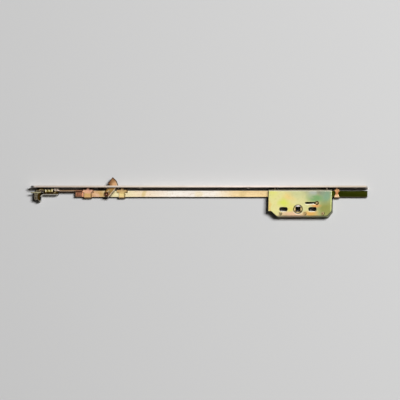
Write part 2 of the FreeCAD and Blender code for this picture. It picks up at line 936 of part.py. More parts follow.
def rack_points():
    # The toothed edge from left to right, with straight flanks at the pressure angle.
    slope = math.tan(math.radians(plain(s.pressure_angle)))
    module = plain(s.gear_module)
    pitch = plain(tooth_pitch)
    half = pitch / 4 - plain(s.tooth_play) / 2
    tip = plain(pitch_radius) - module
    root = plain(root_line)
    points = []
    for index in range(-1, int(plain(s.rack_teeth)) - 1):
        centre = (index + 0.5) * pitch
        wide = half + (root - tip - module) * slope
        narrow = half - module * slope
        points += [
            (centre - wide, root, 0), (centre - narrow, tip, 0),
            (centre + narrow, tip, 0), (centre + wide, root, 0),
        ]
    return points


def make_slide():
    left = -s.slide_reach_left
    right = s.slide_reach_right
    edge = s.slide_edge
    ear_top = root_line + s.slide_ear_rise
    ear = s.guide_ear_radius
    low_left = rod_bottom - s.slide_below_rod
    low_right = rod_bottom - s.slide_ear_below_rod
    teeth = rack_points()
    last_tooth = teeth[-1][0] + plain(edge)
    corners = [
        (left, slide_head, edge),
        (left, low_left, edge),
        (-s.slide_shoulder - s.slide_flank, low_left, edge),
        (-s.slide_shoulder, root_line, edge),
    ]
    corners += teeth
    corners += [
        (last_tooth, root_line, 0),
        (last_tooth, ear_top, s.slide_ear_rise / 2),
        (s.guide_pin_x - ear, ear_top, 0),
        (s.guide_pin_x - ear, s.guide_pin_y - ear, ear * 0.95),
        (s.guide_pin_x + ear, s.guide_pin_y - ear, ear * 0.95),
        (s.guide_pin_x + ear, low_right, edge),
        (right, low_right, edge),
        (right, slide_head, edge),
    ]
    plate = rounded(corners, slide_level, s.slide_thickness)
    holes = [(x, rivet_line, s.rod_rivet_radius) for x in left_rivet_places() + right_rivet_places()]
    holes.append((s.guide_pin_x, s.guide_pin_y, s.guide_pin_radius))
    depth = plain(s.slide_thickness) + overcut * 2
    for x, y, radius in holes:
        plate = plate.cut(Part.makeCylinder(plain(radius), depth, point(x, y, slide_level - overcut)))
    return solid("rack_slide", plate)


def make_guide_pin():
    neck = case_front + s.guide_pin_lift
    shank = rod(
        s.guide_pin_x, s.guide_pin_y, slide_level,
        s.guide_pin_radius, neck - slide_level,
    )
    head = cone(
        s.guide_pin_x, s.guide_pin_y, neck,
        s.guide_pin_head, s.guide_pin_head - s.rivet_edge, s.guide_pin_rise,
    )
    dimple = cup(
        s.guide_pin_x, s.guide_pin_y, neck + s.guide_pin_rise, s.guide_pin_cup, s.guide_pin_cup_depth,
    )
    return cut(join([shank, head]), dimple, "guide_pin")


def make_guide_rail():
    # The slide and both rods run over this strip on the back plate.
    return with_name(box(
        -s.case_reach_left + s.case_wall + s.rail_end_gap,
        rod_bottom - s.running_gap - s.rail_height,
        cover_face,
        s.case_reach_left + s.case_reach_right - s.case_wall * 2 - s.rail_end_gap * 2,
        s.rail_height,
        slide_level - s.running_gap - cover_face,
    ), "guide_rail")


def with_name(item, name):
    item.Label = name
    return item


# The spindle follower: a toothed hub with a square hole.

def involute(angle):
    return math.tan(angle) - angle


def tooth_half_angle(radius):
    pitch = plain(pitch_radius)
    pressure = math.radians(plain(s.pressure_angle))
    base = pitch * math.cos(pressure)
    wide = math.pi / (2 * plain(s.gear_teeth)) - plain(s.tooth_play) / (2 * pitch)
    here = math.acos(min(1.0, base / max(radius, base)))
    return wide + involute(pressure) - involute(here)


def polar(radius, angle):
    return Vector(radius * math.cos(angle), radius * math.sin(angle), 0)


def gear_edges():
    module = plain(s.gear_module)
    pitch = plain(pitch_radius)
    root = pitch - 1.25 * module
    base = pitch * math.cos(math.radians(plain(s.pressure_angle)))
    tip = pitch + module
    radii = [root, base, pitch, (pitch + tip) / 2, tip]
    step = 2 * math.pi / plain(s.gear_teeth)
    count = int(plain(s.gear_teeth)) // 4 + 2
    edges = []
    root_half = tooth_half_angle(root)
    last = None
    for index in range(count):
        centre = index * step
        rising = [polar(r, centre - tooth_half_angle(r)) for r in radii]
        falling = [polar(r, centre + tooth_half_angle(r)) for r in reversed(radii)]
        if last is not None:
            edges.append(Part.Arc(last, polar(root, centre - step / 2), rising[0]).toShape())
        for line in (rising, falling):
            for start, end in zip(line, line[1:]):
                edges.append(Part.LineSegment(start, end).toShape())
        edges.append(Part.Arc(rising[-1], polar(tip, centre), falling[0]).toShape())
        last = falling[-1]
    bare_middle = (count - 1) * step / 2 + math.pi
    edges.append(Part.Arc(last, polar(root, bare_middle), polar(root, -root_half)).toShape())
    return edges


def make_follower():
    core_low = cover_face + s.running_gap
    core_high = shell_inside - s.running_gap
    low = s.case_back - s.hub_proud
    high = case_front + s.hub_proud
    bearing = s.hub_bearing_radius
    entry = s.hub_entry
    hub = turned(zero, zero, low, [
        (bearing - entry, bearing, entry),
        (bearing, bearing, core_low - low - entry),
        (s.hub_core_radius, s.hub_core_radius, core_high - core_low),
        (bearing, bearing, high - core_high - entry),
        (bearing, bearing - entry, entry),
    ])
    gear = extrude(gear_edges(), gear_level, s.gear_width)
    side = plain(s.spindle_square)
    deep = plain(high - low) + overcut * 2
    square = Part.makeBox(side, side, deep, Vector(-side / 2, -side / 2, plain(low) - overcut))
    body = hub.fuse(gear).removeSplitter().cut(square)
    wide = side / 2 + plain(s.square_entry)
    round_trip = ((-1, -1), (1, -1), (1, 1), (-1, 1), (-1, -1))
    for level, sign in ((plain(low), 1), (plain(high), -1)):
        inner_level = level + sign * plain(s.square_entry)
        outer = Part.makePolygon([Vector(x * wide, y * wide, level) for x, y in round_trip])
        inner = Part.makePolygon([
            Vector(x * side / 2, y * side / 2, inner_level) for x, y in round_trip
        ])
        body = body.cut(Part.makeLoft([outer, inner], True))
    return solid("spindle_follower", body)


# The case: a pressed shell and a flat back plate.

def case_outline():
    left = -s.case_reach_left
    right = s.case_reach_right
    low = -s.case_drop
    shoulder = s.case_corner_height - s.case_drop
    return [
        (left + s.case_notch + s.case_corner_left, low),
        (right - s.case_corner_right, low),
        (right, shoulder),
        (right, case_head),
        (left, case_head),
        (left, shoulder),
        (left + s.case_notch, shoulder),
    ]


def rivet_places():
    return [
        (-s.case_rivet_left_x, -s.case_rivet_drop),
        (s.case_rivet_middle_x, -s.case_rivet_drop),
        (s.case_rivet_right_x, -s.case_rivet_drop),
    ]


def plate_openings(sketch, guide_slot):
    ring(sketch, zero, zero, s.hub_bearing_radius + s.bearing_gap)
    radius = s.handle_slot_width / 2
    reach = s.handle_slot_length / 2 - radius
    for sign in (-1, 1):
        centre = s.handle_screw_spacing / 2 * sign
        oval(sketch, centre - reach, centre + reach, zero, radius)
    for x, y in rivet_places():
        ring(sketch, x, y, s.case_rivet_radius)
    if guide_slot:
        play = s.guide_slot_play
        oval(
            sketch, s.guide_pin_x - stroke - play, s.guide_pin_x + play,
            s.guide_pin_y, s.guide_pin_radius + play,
        )


def make_case_shell():
    body = new_body("case_shell")
    sketch = new_sketch(body, "XY_Plane", cover_face)
    outline(sketch, case_outline())
    pad(body, sketch, case_front - cover_face)
    doc.recompute()
    edges = []
    for index, edge in enumerate(body.Shape.Edges, 1):
        reach = edge.BoundBox
        flat = reach.ZLength < 1e-6 and reach.YLength < 1e-6
        at_top = abs(reach.YMin - plain(case_head)) < 1e-6 and abs(reach.ZMin - plain(case_front)) < 1e-6
        if flat and at_top:
            edges.append("Edge%d" % index)
    base = body.Tip
    bend = body.newObject("PartDesign::Fillet", "bend")
    bend.Base = (base, edges)
    bend.Radius = plain(s.case_bend)
    bind(bend, "Radius", s.case_bend)
    doc.recompute()
    open_face = []
    for index, face in enumerate(body.Shape.Faces, 1):
        reach = face.BoundBox
        if reach.ZLength < 1e-6 and abs(reach.ZMin - plain(cover_face)) < 1e-6:
            open_face.append("Face%d" % index)
    base = body.Tip
    shell = body.newObject("PartDesign::Thickness", "shell")
    shell.Base = (base, open_face)
    shell.Value = plain(s.case_wall)
    shell.Reversed = True
    shell.Mode = 0
    shell.Join = 1
    bind(shell, "Value", s.case_wall)
    doc.recompute()
    front = new_sketch(body, "XY_Plane", case_front)
    plate_openings(front, True)
    pocket(body, front, s.case_wall * 2)
    doc.recompute()
    windows = new_sketch(body, "XY_Plane", cover_face)
    rectangle(
        windows,
        -s.case_reach_left - overcut, rod_bottom - s.running_gap,
        s.case_reach_right + overcut, case_head + overcut,
    )
    pocket(body, windows, rod_face + s.running_gap - cover_face, reverse=True)
    doc.recompute()
    studs = new_sketch(body, "XZ_Plane", -case_head)
    for x in (-s.stud_left_x, s.stud_right_x):
        ring(studs, x, s.stud_level, s.stud_radius)
    pocket(body, studs, s.case_wall, reverse=True)
    return body


def make_case_cover():
    body = new_body("case_cover")
    sketch = new_sketch(body, "XY_Plane", s.case_back)
    outline(sketch, case_outline())
    plate_openings(sketch, False)
    pad(body, sketch, s.cover_thickness)
    return body


def make_case_rivets():
    rivets = []
    for x, y in rivet_places():
        back = cone(x, y, zero, s.case_rivet_head - s.rivet_edge, s.case_rivet_head, s.case_back)
        shank = rod(x, y, s.case_back, s.case_rivet_radius, s.case_depth)
        head = cone(
            x, y, case_front, s.case_rivet_head, s.case_rivet_head - s.rivet_edge, s.case_rivet_rise,
        )
        dimple = cup(x, y, case_front + s.case_rivet_rise, s.case_rivet_cup, s.case_rivet_cup_depth)
        rivets.append(cut(join([back, shank, head]), dimple))
    return group(rivets, "case_rivets")


def make_case_spacers():
    tubes = []
    for x, y in rivet_places():
        outer = rod(x, y, cover_face, s.case_spacer_radius, shell_inside - cover_face)
        depth = shell_inside - cover_face + overcut * 2
        inner = rod(x, y, cover_face - overcut, s.case_rivet_radius, depth)
        tubes.append(cut(outer, inner))
    return group(tubes, "case_spacers")


def oval_block(centre, level, height, length, width):
    half = width / 2
    reach = length / 2 - half
    return join([
        box(centre - reach, -half, level, reach * 2, width, height),
        rod(centre - reach, zero, level, half, height),
        rod(centre + reach, zero, level, half, height),
    ])


def make_sleeves():
    tubes = []
    height = shell_inside - cover_face
    for sign in (-1, 1):
        centre = s.handle_screw_spacing / 2 * sign
        wall = s.sleeve_wall * 2
        outer = oval_block(
            centre, cover_face, height, s.handle_slot_length + wall, s.handle_slot_width + wall,
        )
        inner = oval_block(
            centre, cover_face - overcut, height + overcut * 2,
            s.handle_slot_length, s.handle_slot_width,
        )
        tubes.append(cut(outer, inner))
    return group(tubes, "screw_sleeves")


def make_studs():
    # Each stud is staked in the faceplate, stands the case off and is headed inside it.
    studs = []
    for x in (-s.stud_left_x, s.stud_right_x):
        head = cone(
            x, case_head - s.case_wall - s.stud_head_rise, s.stud_level,
            s.stud_head - s.rivet_edge, s.stud_head, s.stud_head_rise, "Y",
        )
        neck = rod(x, case_head - s.case_wall, s.stud_level, s.stud_radius, s.case_wall, "Y")
        collar = rod(x, case_head, s.stud_level, s.stud_collar, plate_back - case_head, "Y")
        tip = rod(
            x, plate_back, s.stud_level, s.stud_radius, s.plate_thickness - s.stake_short, "Y",
        )
        studs.append(join([head, neck, collar, tip]))
    return group(studs, "case_mounting_studs")


# The corner unit at the left end.

def make_band():
    # A strip on edge that folds into a flange on the face of the rod.
    left = -band_reach
    start = -left_rod_reach
    clear = start - s.running_gap
    strip = box(left, band_bottom, band_level, clear - left, s.band_thickness, s.band_width)
    lap = box(
        clear, band_bottom, rod_face,
        s.band_lap + s.running_gap, s.band_thickness, band_level + s.band_width - rod_face,
    )
    low = rod_bottom + s.band_flange_edge
    flange = box(start, low, rod_face, s.band_lap, band_top - low, s.band_thickness)
    return cut(join([strip, lap, flange]), join(band_rivet_shapes()), "drive_band")


def band_rivet_shapes():
    return [
        flush_rivet(
            x, band_rivet_line, s.rod_level, rod_face + s.band_thickness,
            s.band_rivet_radius, s.band_rivet_head, s.band_rivet_sink,
        )
        for x in band_rivet_places()
    ]


def make_band_rivets():
    return group(band_rivet_shapes(), "band_rivets")


def quarter(radius, thickness, level, height, down, along):
    # A strip that comes in from the right, turns a quarter about the corner centre and goes down.
    x = -plain(corner_x)
    y = plain(corner_y)
    inner = plain(radius)
    outer = inner + plain(thickness)
    slant = math.sqrt(0.5)
    edges = [
        Part.Arc(
            Vector(x, y + outer, 0), Vector(x - outer * slant, y + outer * slant, 0),
            Vector(x - outer, y, 0),
        ).toShape(),
        Part.Arc(
            Vector(x, y + inner, 0), Vector(x - inner * slant, y + inner * slant, 0),
            Vector(x - inner, y, 0),
        ).toShape(),
    ]
    corners = [
        (Vector(x - outer, y, 0), Vector(x - outer, plain(down), 0)),
        (Vector(x - outer, plain(down), 0), Vector(x - inner, plain(down), 0)),
        (Vector(x - inner, plain(down), 0), Vector(x - inner, y, 0)),
        (Vector(x, y + inner, 0), Vector(plain(along), y + inner, 0)),
        (Vector(plain(along), y + inner, 0), Vector(plain(along), y + outer, 0)),
        (Vector(plain(along), y + outer, 0), Vector(x, y + outer, 0)),
    ]
    for start, end in corners:
        edges.append(Part.LineSegment(start, end).toShape())
    return extrude(edges, level, height)


def make_housing():
    x = -plain(corner_x)
    y = plain(corner_y)
    end = -plain(corner_end_x)
    half = plain(s.band_thickness) / 2
    play = plain(s.corner_play)
    wall = plain(s.corner_wall)
    inner = plain(s.corner_radius) - half - play
    outer = plain(s.corner_radius) + half + play
    back = y + outer + wall
    leg_left = x - inner
    leg_right = leg_left + plain(s.corner_leg_width)
    leg_tip = plain(rod_top) - plain(s.corner_leg_drop)
    leg_low = leg_tip + plain(s.corner_leg_point)
    block_low = plain(rod_top) - plain(s.corner_block_drop)
    floor_face = plain(corner_floor_face)
    shelf = plain(corner_shelf)
    top = plain(s.corner_rise)
    slant = plain(s.corner_leg_slant)
    bevel = plain(s.corner_bevel)

    # The block inside the bend, with the leg that points down.
    edges = [Part.Arc(
        Vector(x, y + inner, 0),
        Vector(x - inner * math.sqrt(0.5), y + inner * math.sqrt(0.5), 0),
        Vector(leg_left, y, 0),
    ).toShape()]
    line = [
        Vector(leg_left, y, 0),
        Vector(leg_left, leg_low, 0),
        Vector(leg_right - slant, leg_tip, 0),
        Vector(leg_right, leg_tip + slant, 0),
        Vector(leg_right, block_low - bevel, 0),
        Vector(leg_right + bevel, block_low, 0),
        Vector(end, block_low, 0),
        Vector(end, y + inner, 0),
        Vector(x, y + inner, 0),
    ]
    for start, finish in zip(line, line[1:]):
        edges.append(Part.LineSegment(start, finish).toShape())
    block = extrude(edges, floor_face, top - floor_face)

    # The base plate, its rounded shoulder outside the bend, the back wall and the roof.
    left = x - outer - wall - plain(s.corner_shoulder)
    tongue_left = x - plain(s.corner_radius) + half - plain(s.tongue_width)
    shoulder_low = y + plain(s.lip_start)
    base = rounded([
        (end, block_low, 0),
        (end, back, 0),
        (left + plain(s.corner_slope), back, plain(s.corner_round)),
        (left, shoulder_low + plain(s.corner_side), plain(s.corner_round)),
        (left, shoulder_low, 0),
        (tongue_left, shoulder_low, 0),
        (tongue_left, leg_low, slant),
        (leg_right, leg_low, 0),
        (leg_right, block_low, bevel * 0.8),
    ], corner_base, shelf - plain(corner_base))
    deep = shelf - floor_face + overcut
    bend = Part.makeCylinder(outer, deep, Vector(x, y, floor_face))
    channel = Part.makeBox(end - x + overcut, y + outer - block_low + overcut, deep,
                           Vector(x, block_low - overcut, floor_face))
    bay = Part.makeBox(x - left + overcut, shoulder_low - leg_tip + overcut, deep,
                       Vector(left - overcut, leg_tip - overcut, floor_face))
    base = base.cut(bend).cut(channel).cut(bay)
    back_wall = Part.makeBox(
        end - x, wall, top - floor_face, Vector(x, y + outer, floor_face),
    )
    roof = Part.makeBox(
        plain(s.corner_roof), back - y - inner, top - shelf, Vector(leg_left, y + inner, shelf),
    )
    ear_width = plain(s.corner_ear_width)
    ear = Part.makeBox(
        ear_width, plain(plate_back) - back, top - shelf,
        Vector(plain(corner_rivet_x) - ear_width / 2, back, shelf),
    )
    body = block.fuse([base, back_wall, roof, ear])

    # The raised eyelet on the roof, the bay under the clip's leaf and the rivet hole.
    tilt = -plain(s.eyelet_tilt)
    centre = Vector(leg_left + plain(s.corner_roof) / 2, (block_low + back) / 2 + half * 2, top)
    rim = plain(s.eyelet_rim)
    rise = plain(s.eyelet_rise)
    sink = plain(s.eyelet_sink)
    collar = flat_oval(centre, plain(s.eyelet_length), plain(s.eyelet_width), 0, rise, tilt)
    opening = flat_oval(
        centre, plain(s.eyelet_length) - rim * 2, plain(s.eyelet_width) - rim * 2,
        -sink, rise + sink + overcut, tilt,
    )
    body = body.fuse(collar).removeSplitter().cut(opening)
    bay_low = block_low + plain(s.corner_bay_rim)
    body = body.cut(Part.makeBox(
        plain(s.corner_bay_length) + overcut, y + inner - bay_low, plain(s.corner_bay_depth) + overcut,
        Vector(end - plain(s.corner_bay_length), bay_low, top - plain(s.corner_bay_depth)),
    ))
    body = body.cut(Part.makeCylinder(
        plain(s.band_rivet_radius), plain(plate_back) - y - inner,
        point(corner_rivet_x, y + inner + half, corner_rivet_level), Vector(0, 1, 0),
    ))
    return solid("corner_housing", body)


def flat_oval(centre, length, width, level, height, tilt):
    # An oval disc about a centre, turned in its plane.
    half = width / 2
    reach = length / 2 - half
    shape = Part.makeBox(reach * 2, width, height, Vector(-reach, -half, level))
    for side in (-reach, reach):
        shape = shape.fuse(Part.makeCylinder(half, height, Vector(side, 0, level)))
    shape = shape.removeSplitter()
    shape.rotate(Vector(0, 0, 0), Vector(0, 0, 1), tilt)
    shape.translate(centre)
    return shape


def make_leaf():
    half = s.band_thickness / 2
    shape = quarter(
        s.corner_radius - half, s.band_thickness, corner_floor_face + s.leaf_lift, s.leaf_width,
        corner_y - s.leaf_tail, s.leaf_lead - corner_x,
    )
    return solid("corner_leaf", shape)


def make_tongue():
    # A plate in front of the leaves with a raised shank, and a deep head that carries the eye.
    half = plain(s.band_thickness) / 2
    centre = -plain(corner_x) - plain(s.corner_radius)
    low = plain(rod_top) - plain(s.tongue_drop)
    left = centre + half - plain(s.tongue_width)
    right = centre + half
    level = plain(corner_shelf + s.corner_play)
    head_level = plain(corner_floor_face + s.corner_play)
    depth = plain(s.tongue_plate_depth)

    def plate(top, base, height):
        return rounded([
            (left, top, half / 2), (left, low, half * 2), (right, low, half * 2), (right, top, half / 2),
        ], base, height)

    body = plate(low + plain(s.tongue_length), level, depth)
    body = body.fuse(plate(low + plain(s.tongue_head_length), head_level, level + depth - head_level))
    shank_low = low + plain(s.tongue_shank_rise)
    shank = Part.makeBox(
        half * 2, plain(band_top) - shank_low, plain(s.corner_rise - s.corner_play) - level,
        Vector(centre - half, shank_low, level),
    )
    eye = Part.makeCylinder(
        plain(s.tongue_eye_radius), plain(s.corner_rise),
        Vector((left + right) / 2, low + plain(s.tongue_eye_rise), 0), Vector(0, 0, 1),
    )
    return solid("corner_tongue", body.fuse(shank).removeSplitter().cut(eye))


def clip_left():
    return plain(s.clip_over - s.clip_length - corner_end_x)


def make_splice():
    # A serrated plate over the band, with V notches in its upper edge and a folded end.
    right = clip_left() - plain(s.splice_gap)
    left = right - plain(s.splice_length)
    top = plain(band_top + s.splice_above_band)
    low = top - plain(s.splice_height)
    bar = plain(s.splice_bar)
    count = int(plain(s.splice_teeth))
    step = (plain(s.splice_length) - bar) / count
    line = [(left, low), (right, low), (right, top)]
    for index in range(count):
        here = right - bar - index * step
        line.append((here, top))
        line.append((here - step / 2, top - plain(s.splice_tooth_depth)))
    line.append((left, top))
    plate = rounded([(x, y, 0) for x, y in line], s.corner_rise, s.splice_thickness)
    fold = Part.makeBox(
        bar, top - low, plain(s.splice_bar_rise), Vector(right - bar, low, plain(s.corner_rise)),
    )
    return solid("toothed_splice", plate.fuse(fold).removeSplitter())


def make_clip():
    # A clip over the channel with two prongs and a slanting spring leaf.
    left = clip_left()
    right = left + plain(s.clip_length)
    middle = (left + right) / 2
    top = plain(band_top + s.clip_above_band)
    low = top - plain(s.clip_reach)
    prong = plain(s.clip_prong)
    crotch = low + plain(s.clip_prong_length)
    thick = plain(s.clip_thickness)
    edge = thick / 2
    level = plain(s.corner_rise)
    prongs = rounded([
        (right, top, edge), (left, top, edge), (left, low, edge), (left + prong, low, 0),
        (left + prong, crotch, 0), (right - prong, crotch, 0),
        (right - prong, low, 0), (right, low, edge),
    ], level, thick)
    half = plain(s.clip_leaf_width) / 2
    run = plain(s.clip_leaf_run)
    drop = plain(s.clip_leaf_drop)
    leaf = rounded([
        (middle - half, low + edge, 0), (middle + half, low + edge, 0),
        (middle + half - run, low - drop, edge), (middle - half - run, low - drop, edge),
    ], level, thick)
    back = Part.makeBox(right - left, thick, plain(s.clip_back), Vector(left, top - thick, level))
    return solid("spring_clip", prongs.fuse(leaf).fuse(back).removeSplitter())


def make_lip():
    # A thin leaf on edge that lies over the legs and springs out to the left of the housing.
    half = plain(s.band_thickness) / 2
    radius = plain(s.corner_radius)
    start = -plain(corner_x) - radius + half + plain(s.corner_play) + plain(s.lip_lap)
    wall = -plain(corner_x) - radius - half - plain(s.corner_play + s.corner_wall + s.corner_shoulder)
    y = plain(corner_y + s.lip_start)
    tip = wall - plain(s.lip_length)
    thick = plain(s.lip_thickness)
    rise = plain(s.lip_rise)
    level = plain(s.corner_rise)
    strip = rounded([
        (start, y, 0), (start, y + thick, 0), (wall, y + thick, 0), (wall, y, 0),
    ], level, s.lip_height)
    spring = rounded([
        (wall + thick, y, 0), (wall + thick, y + thick, 0),
        (tip, y + rise + plain(s.lip_end), 0), (tip, y + rise, 0),
    ], corner_shelf, level + plain(s.lip_height) - plain(corner_shelf))
    return solid("corner_lip", strip.fuse(spring).removeSplitter())


def make_corner_rivet():
    # A headless rivet: pressed in the roof of the housing and staked in the faceplate.
    inner = corner_y + s.corner_radius - s.corner_play
    return with_name(rod(
        corner_rivet_x, inner, corner_rivet_level,
        s.band_rivet_radius, s.backset - s.stake_short - inner, "Y",
    ), "corner_rivet")


# Everything in order.

make_faceplate()
make_case_shell()
make_case_cover()
make_case_rivets()
make_case_spacers()
make_sleeves()
make_studs()
make_follower()
make_slide()
make_guide_pin()
make_guide_rail()
make_left_rod()
make_right_rod()
make_rod_rivets()
make_strap("guide_bracket_left", -strap_left_x, s.strap_bar_width, s.strap_left_stem)
make_strap("guide_bracket_middle", -strap_middle_x, s.strap_bar_width, s.strap_middle_stem)
make_strap(
    "guide_bracket_right", strap_right_x, s.strap_right_bar, s.strap_right_bar, s.strap_right_waist
)
make_hook()
make_hook_rivet()
make_hook_washer()
make_cam_plate()
make_hook_guide_pin()
make_band()
make_band_rivets()
make_housing()
make_leaf()
make_tongue()
make_splice()
make_clip()
make_lip()
make_corner_rivet()
doc.recompute()

# Every object has to be sound, and each sub-part is written to a file of its own.
names = [
    "faceplate", "case_shell", "case_cover", "case_rivets", "case_spacers", "screw_sleeves",
    "case_mounting_studs", "spindle_follower", "rack_slide", "guide_pin", "guide_rail",
    "left_drive_rod", "right_drive_rod", "rod_rivets", "guide_bracket_left",
    "guide_bracket_middle", "guide_bracket_right", "hook", "hook_pivot_rivet",
    "hook_spacer_washer", "hook_guide_bracket", "hook_guide_pin", "drive_band", "band_rivets",
    "corner_housing", "corner_leaf", "corner_tongue", "toothed_splice", "spring_clip",
    "corner_lip", "corner_rivet",
]
for item in doc.Objects:
    if "Invalid" in item.State or "Error" in item.State:
        raise SystemExit("failed: %s %s" % (item.Name, item.State))
os.makedirs("parts", exist_ok=True)
for name in names:
    item = doc.getObjectsByLabel(name)[0]
    shape = item.Shape
    if shape.isNull() or not shape.isValid():
        raise SystemExit("not a sound shape: " + name)
    shape.exportStep("parts/%s.step" % name)
print("wrote %d sub-parts" % len(names))
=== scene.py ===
import json
import math

import bmesh
import bpy
from mathutils import Matrix, Vector


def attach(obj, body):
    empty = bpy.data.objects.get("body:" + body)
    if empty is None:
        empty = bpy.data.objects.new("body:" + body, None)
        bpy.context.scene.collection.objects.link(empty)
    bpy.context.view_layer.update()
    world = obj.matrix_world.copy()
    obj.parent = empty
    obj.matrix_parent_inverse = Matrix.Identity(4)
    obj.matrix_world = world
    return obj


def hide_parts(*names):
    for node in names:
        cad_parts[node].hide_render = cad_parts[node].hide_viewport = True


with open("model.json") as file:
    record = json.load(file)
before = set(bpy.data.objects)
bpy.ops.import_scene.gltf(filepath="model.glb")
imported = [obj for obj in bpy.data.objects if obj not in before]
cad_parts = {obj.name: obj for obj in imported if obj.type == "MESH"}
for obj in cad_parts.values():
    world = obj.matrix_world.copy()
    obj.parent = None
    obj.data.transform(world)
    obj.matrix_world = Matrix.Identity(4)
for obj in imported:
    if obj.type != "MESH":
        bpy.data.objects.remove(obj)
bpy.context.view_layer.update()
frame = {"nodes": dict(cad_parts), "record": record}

# Window espagnolette lying on a pale table. Metres, X along the faceplate,
# Y out of its front, Z up from the table, origin on the spindle axis.

scene = bpy.context.scene
print("frame loaded:", len(frame["nodes"]), "nodes")

mm = 0.001


def linear(hexColour):
    # sRGB hex to the linear colour that Blender works in
    parts = [int(hexColour[i:i + 2], 16) / 255 for i in (1, 3, 5)]
    colour = [c / 12.92 if c <= 0.04045 else ((c + 0.055) / 1.055) ** 2.4 for c in parts]
    return (*colour, 1.0)


def addNode(tree, kind, values=None, links=None):
    # adds one node, sets its properties and sockets, and links its inputs
    node = tree.nodes.new(kind)
    for key, value in (values or {}).items():
        if isinstance(key, str) and hasattr(node, key):
            setattr(node, key, value)
        else:
            node.inputs[key].default_value = value
    for key, source in (links or {}).items():
        tree.links.new(source, node.inputs[key])
    return node


# Camera: seen from a little to the right and below, without perspective

view = {
    "toCamera": (0.1392, -0.1720, 0.9752),
    "hubFace": (0.0, 0.0, 0.015),
    "offset": (-0.1437, 0.0135),             # from the hub to the middle of the picture
    "pictureWidth": 0.5872,
    "distance": 2.0,
    "farEnd": 20.0,
}
toCamera = Vector(view["toCamera"]).normalized()
right = (Vector((1, 0, 0)) - toCamera * toCamera.x).normalized()
up = toCamera.cross(right)
target = Vector(view["hubFace"]) + right * view["offset"][0] + up * view["offset"][1]
cameraData = bpy.data.cameras.new("camera")
cameraData.type = "ORTHO"
cameraData.ortho_scale = view["pictureWidth"]
cameraData.clip_end = view["farEnd"]
camera = bpy.data.objects.new("camera", cameraData)
turn = Matrix((right, up, toCamera)).transposed().to_4x4()
camera.matrix_world = Matrix.Translation(target + toCamera * view["distance"]) @ turn
scene.collection.objects.link(camera)
scene.camera = camera
scene.view_settings.view_transform = "Standard"

# Light: one soft lamp overhead at the right, and a pale room that metal reflects

light = {
    "towardsLamp": (0.50, 0.23, 1.0),
    "aim": (-0.15, 0.0, 0.0),
    "distance": 5.0,
    "lampSize": (1.7, 1.2),                  # the long side lies along the part
    "lampWatts": 284.0,
    "roomColour": "#F8F3EA",
    "fill": 0.03,                            # what the room gives a matt surface
    "roomDark": 0.05,                        # reflected room low down and away from the lamp
    "roomBright": 0.74,                      # reflected room round the lamp
    "darkBelow": 0.45, "brightAbove": 0.84,  # cosines of the angle from the lamp
    "backdrop": 0.62,                        # room that the camera sees past the table
}
towardsLamp = Vector(light["towardsLamp"]).normalized()
lampData = bpy.data.lights.new("softbox", "AREA")
lampData.shape = "RECTANGLE"
lampData.size, lampData.size_y = light["lampSize"]
lampData.energy = light["lampWatts"]
lamp = bpy.data.objects.new("softbox", lampData)
alongLamp = (Vector((1, 0, 0)) - towardsLamp * towardsLamp.x).normalized()
lampTurn = Matrix((alongLamp, towardsLamp.cross(alongLamp), towardsLamp)).transposed().to_4x4()
lampPlace = Vector(light["aim"]) + towardsLamp * light["distance"]
lamp.matrix_world = Matrix.Translation(lampPlace) @ lampTurn
scene.collection.objects.link(lamp)

world = bpy.data.worlds.new("studio room")
world.use_nodes = True
room = world.node_tree
background = room.nodes["Background"]
background.inputs["Color"].default_value = linear(light["roomColour"])
direction = addNode(room, "ShaderNodeTexCoord").outputs["Generated"]
towards = addNode(room, "ShaderNodeVectorMath", {"operation": "DOT_PRODUCT", 1: towardsLamp}, {
    0: direction,
})
reflected = addNode(room, "ShaderNodeMapRange", {
    "interpolation_type": "SMOOTHSTEP",
    "From Min": light["darkBelow"], "From Max": light["brightAbove"],
    "To Min": light["roomDark"], "To Max": light["roomBright"],
}, {"Value": towards.outputs["Value"]})
rays = addNode(room, "ShaderNodeLightPath").outputs
lit = addNode(room, "ShaderNodeMix", {"data_type": "FLOAT", 2: light["fill"]}, {
    0: rays["Is Glossy Ray"], 3: reflected.outputs["Result"],
})
seen = addNode(room, "ShaderNodeMix", {"data_type": "FLOAT", 3: light["backdrop"]}, {
    0: rays["Is Camera Ray"], 2: lit.outputs[0],
})
room.links.new(seen.outputs[0], background.inputs["Strength"])
scene.world = world
print("camera and light placed")


def newMaterial(name):
    material = bpy.data.materials.new(name)
    material.use_nodes = True
    tree = material.node_tree
    tree.nodes.remove(tree.nodes["Principled BSDF"])
    return material, tree, tree.nodes["Material Output"]


def setRamp(ramp, stops):
    elements = ramp.color_ramp.elements
    while len(elements) > 1:
        elements.remove(elements[-1])
    elements[0].position = stops[0][0]
    elements[0].color = linear(stops[0][1])
    for position, colour in stops[1:]:
        elements.new(position).color = linear(colour)


# Steel, zinc plated and passivated: a thin chromate film whose colour goes with its
# thickness, from straw to pink and green, over the satin grain of the steel. In the
# looks below all sizes and places are in mm, and a pattern's scale is one over its size.
# Real grain and pores are finer than a pixel, so both are drawn coarse enough to show.

zincFilm = {
    "driftDetail": 4.0, "driftRoughness": 0.6, "driftWarp": 0.4,
    "spotDetail": 2.0, "spotRoughness": 0.5, "spotStarts": 0.56, "spotFull": 0.72,
    "grainDetail": 4.0, "grainRoughness": 0.6, "grainLow": 0.3, "grainHigh": 0.7,
    "relief": 0.4,                           # mm, deeper than the real grain
    "edgeSamples": 6,
}


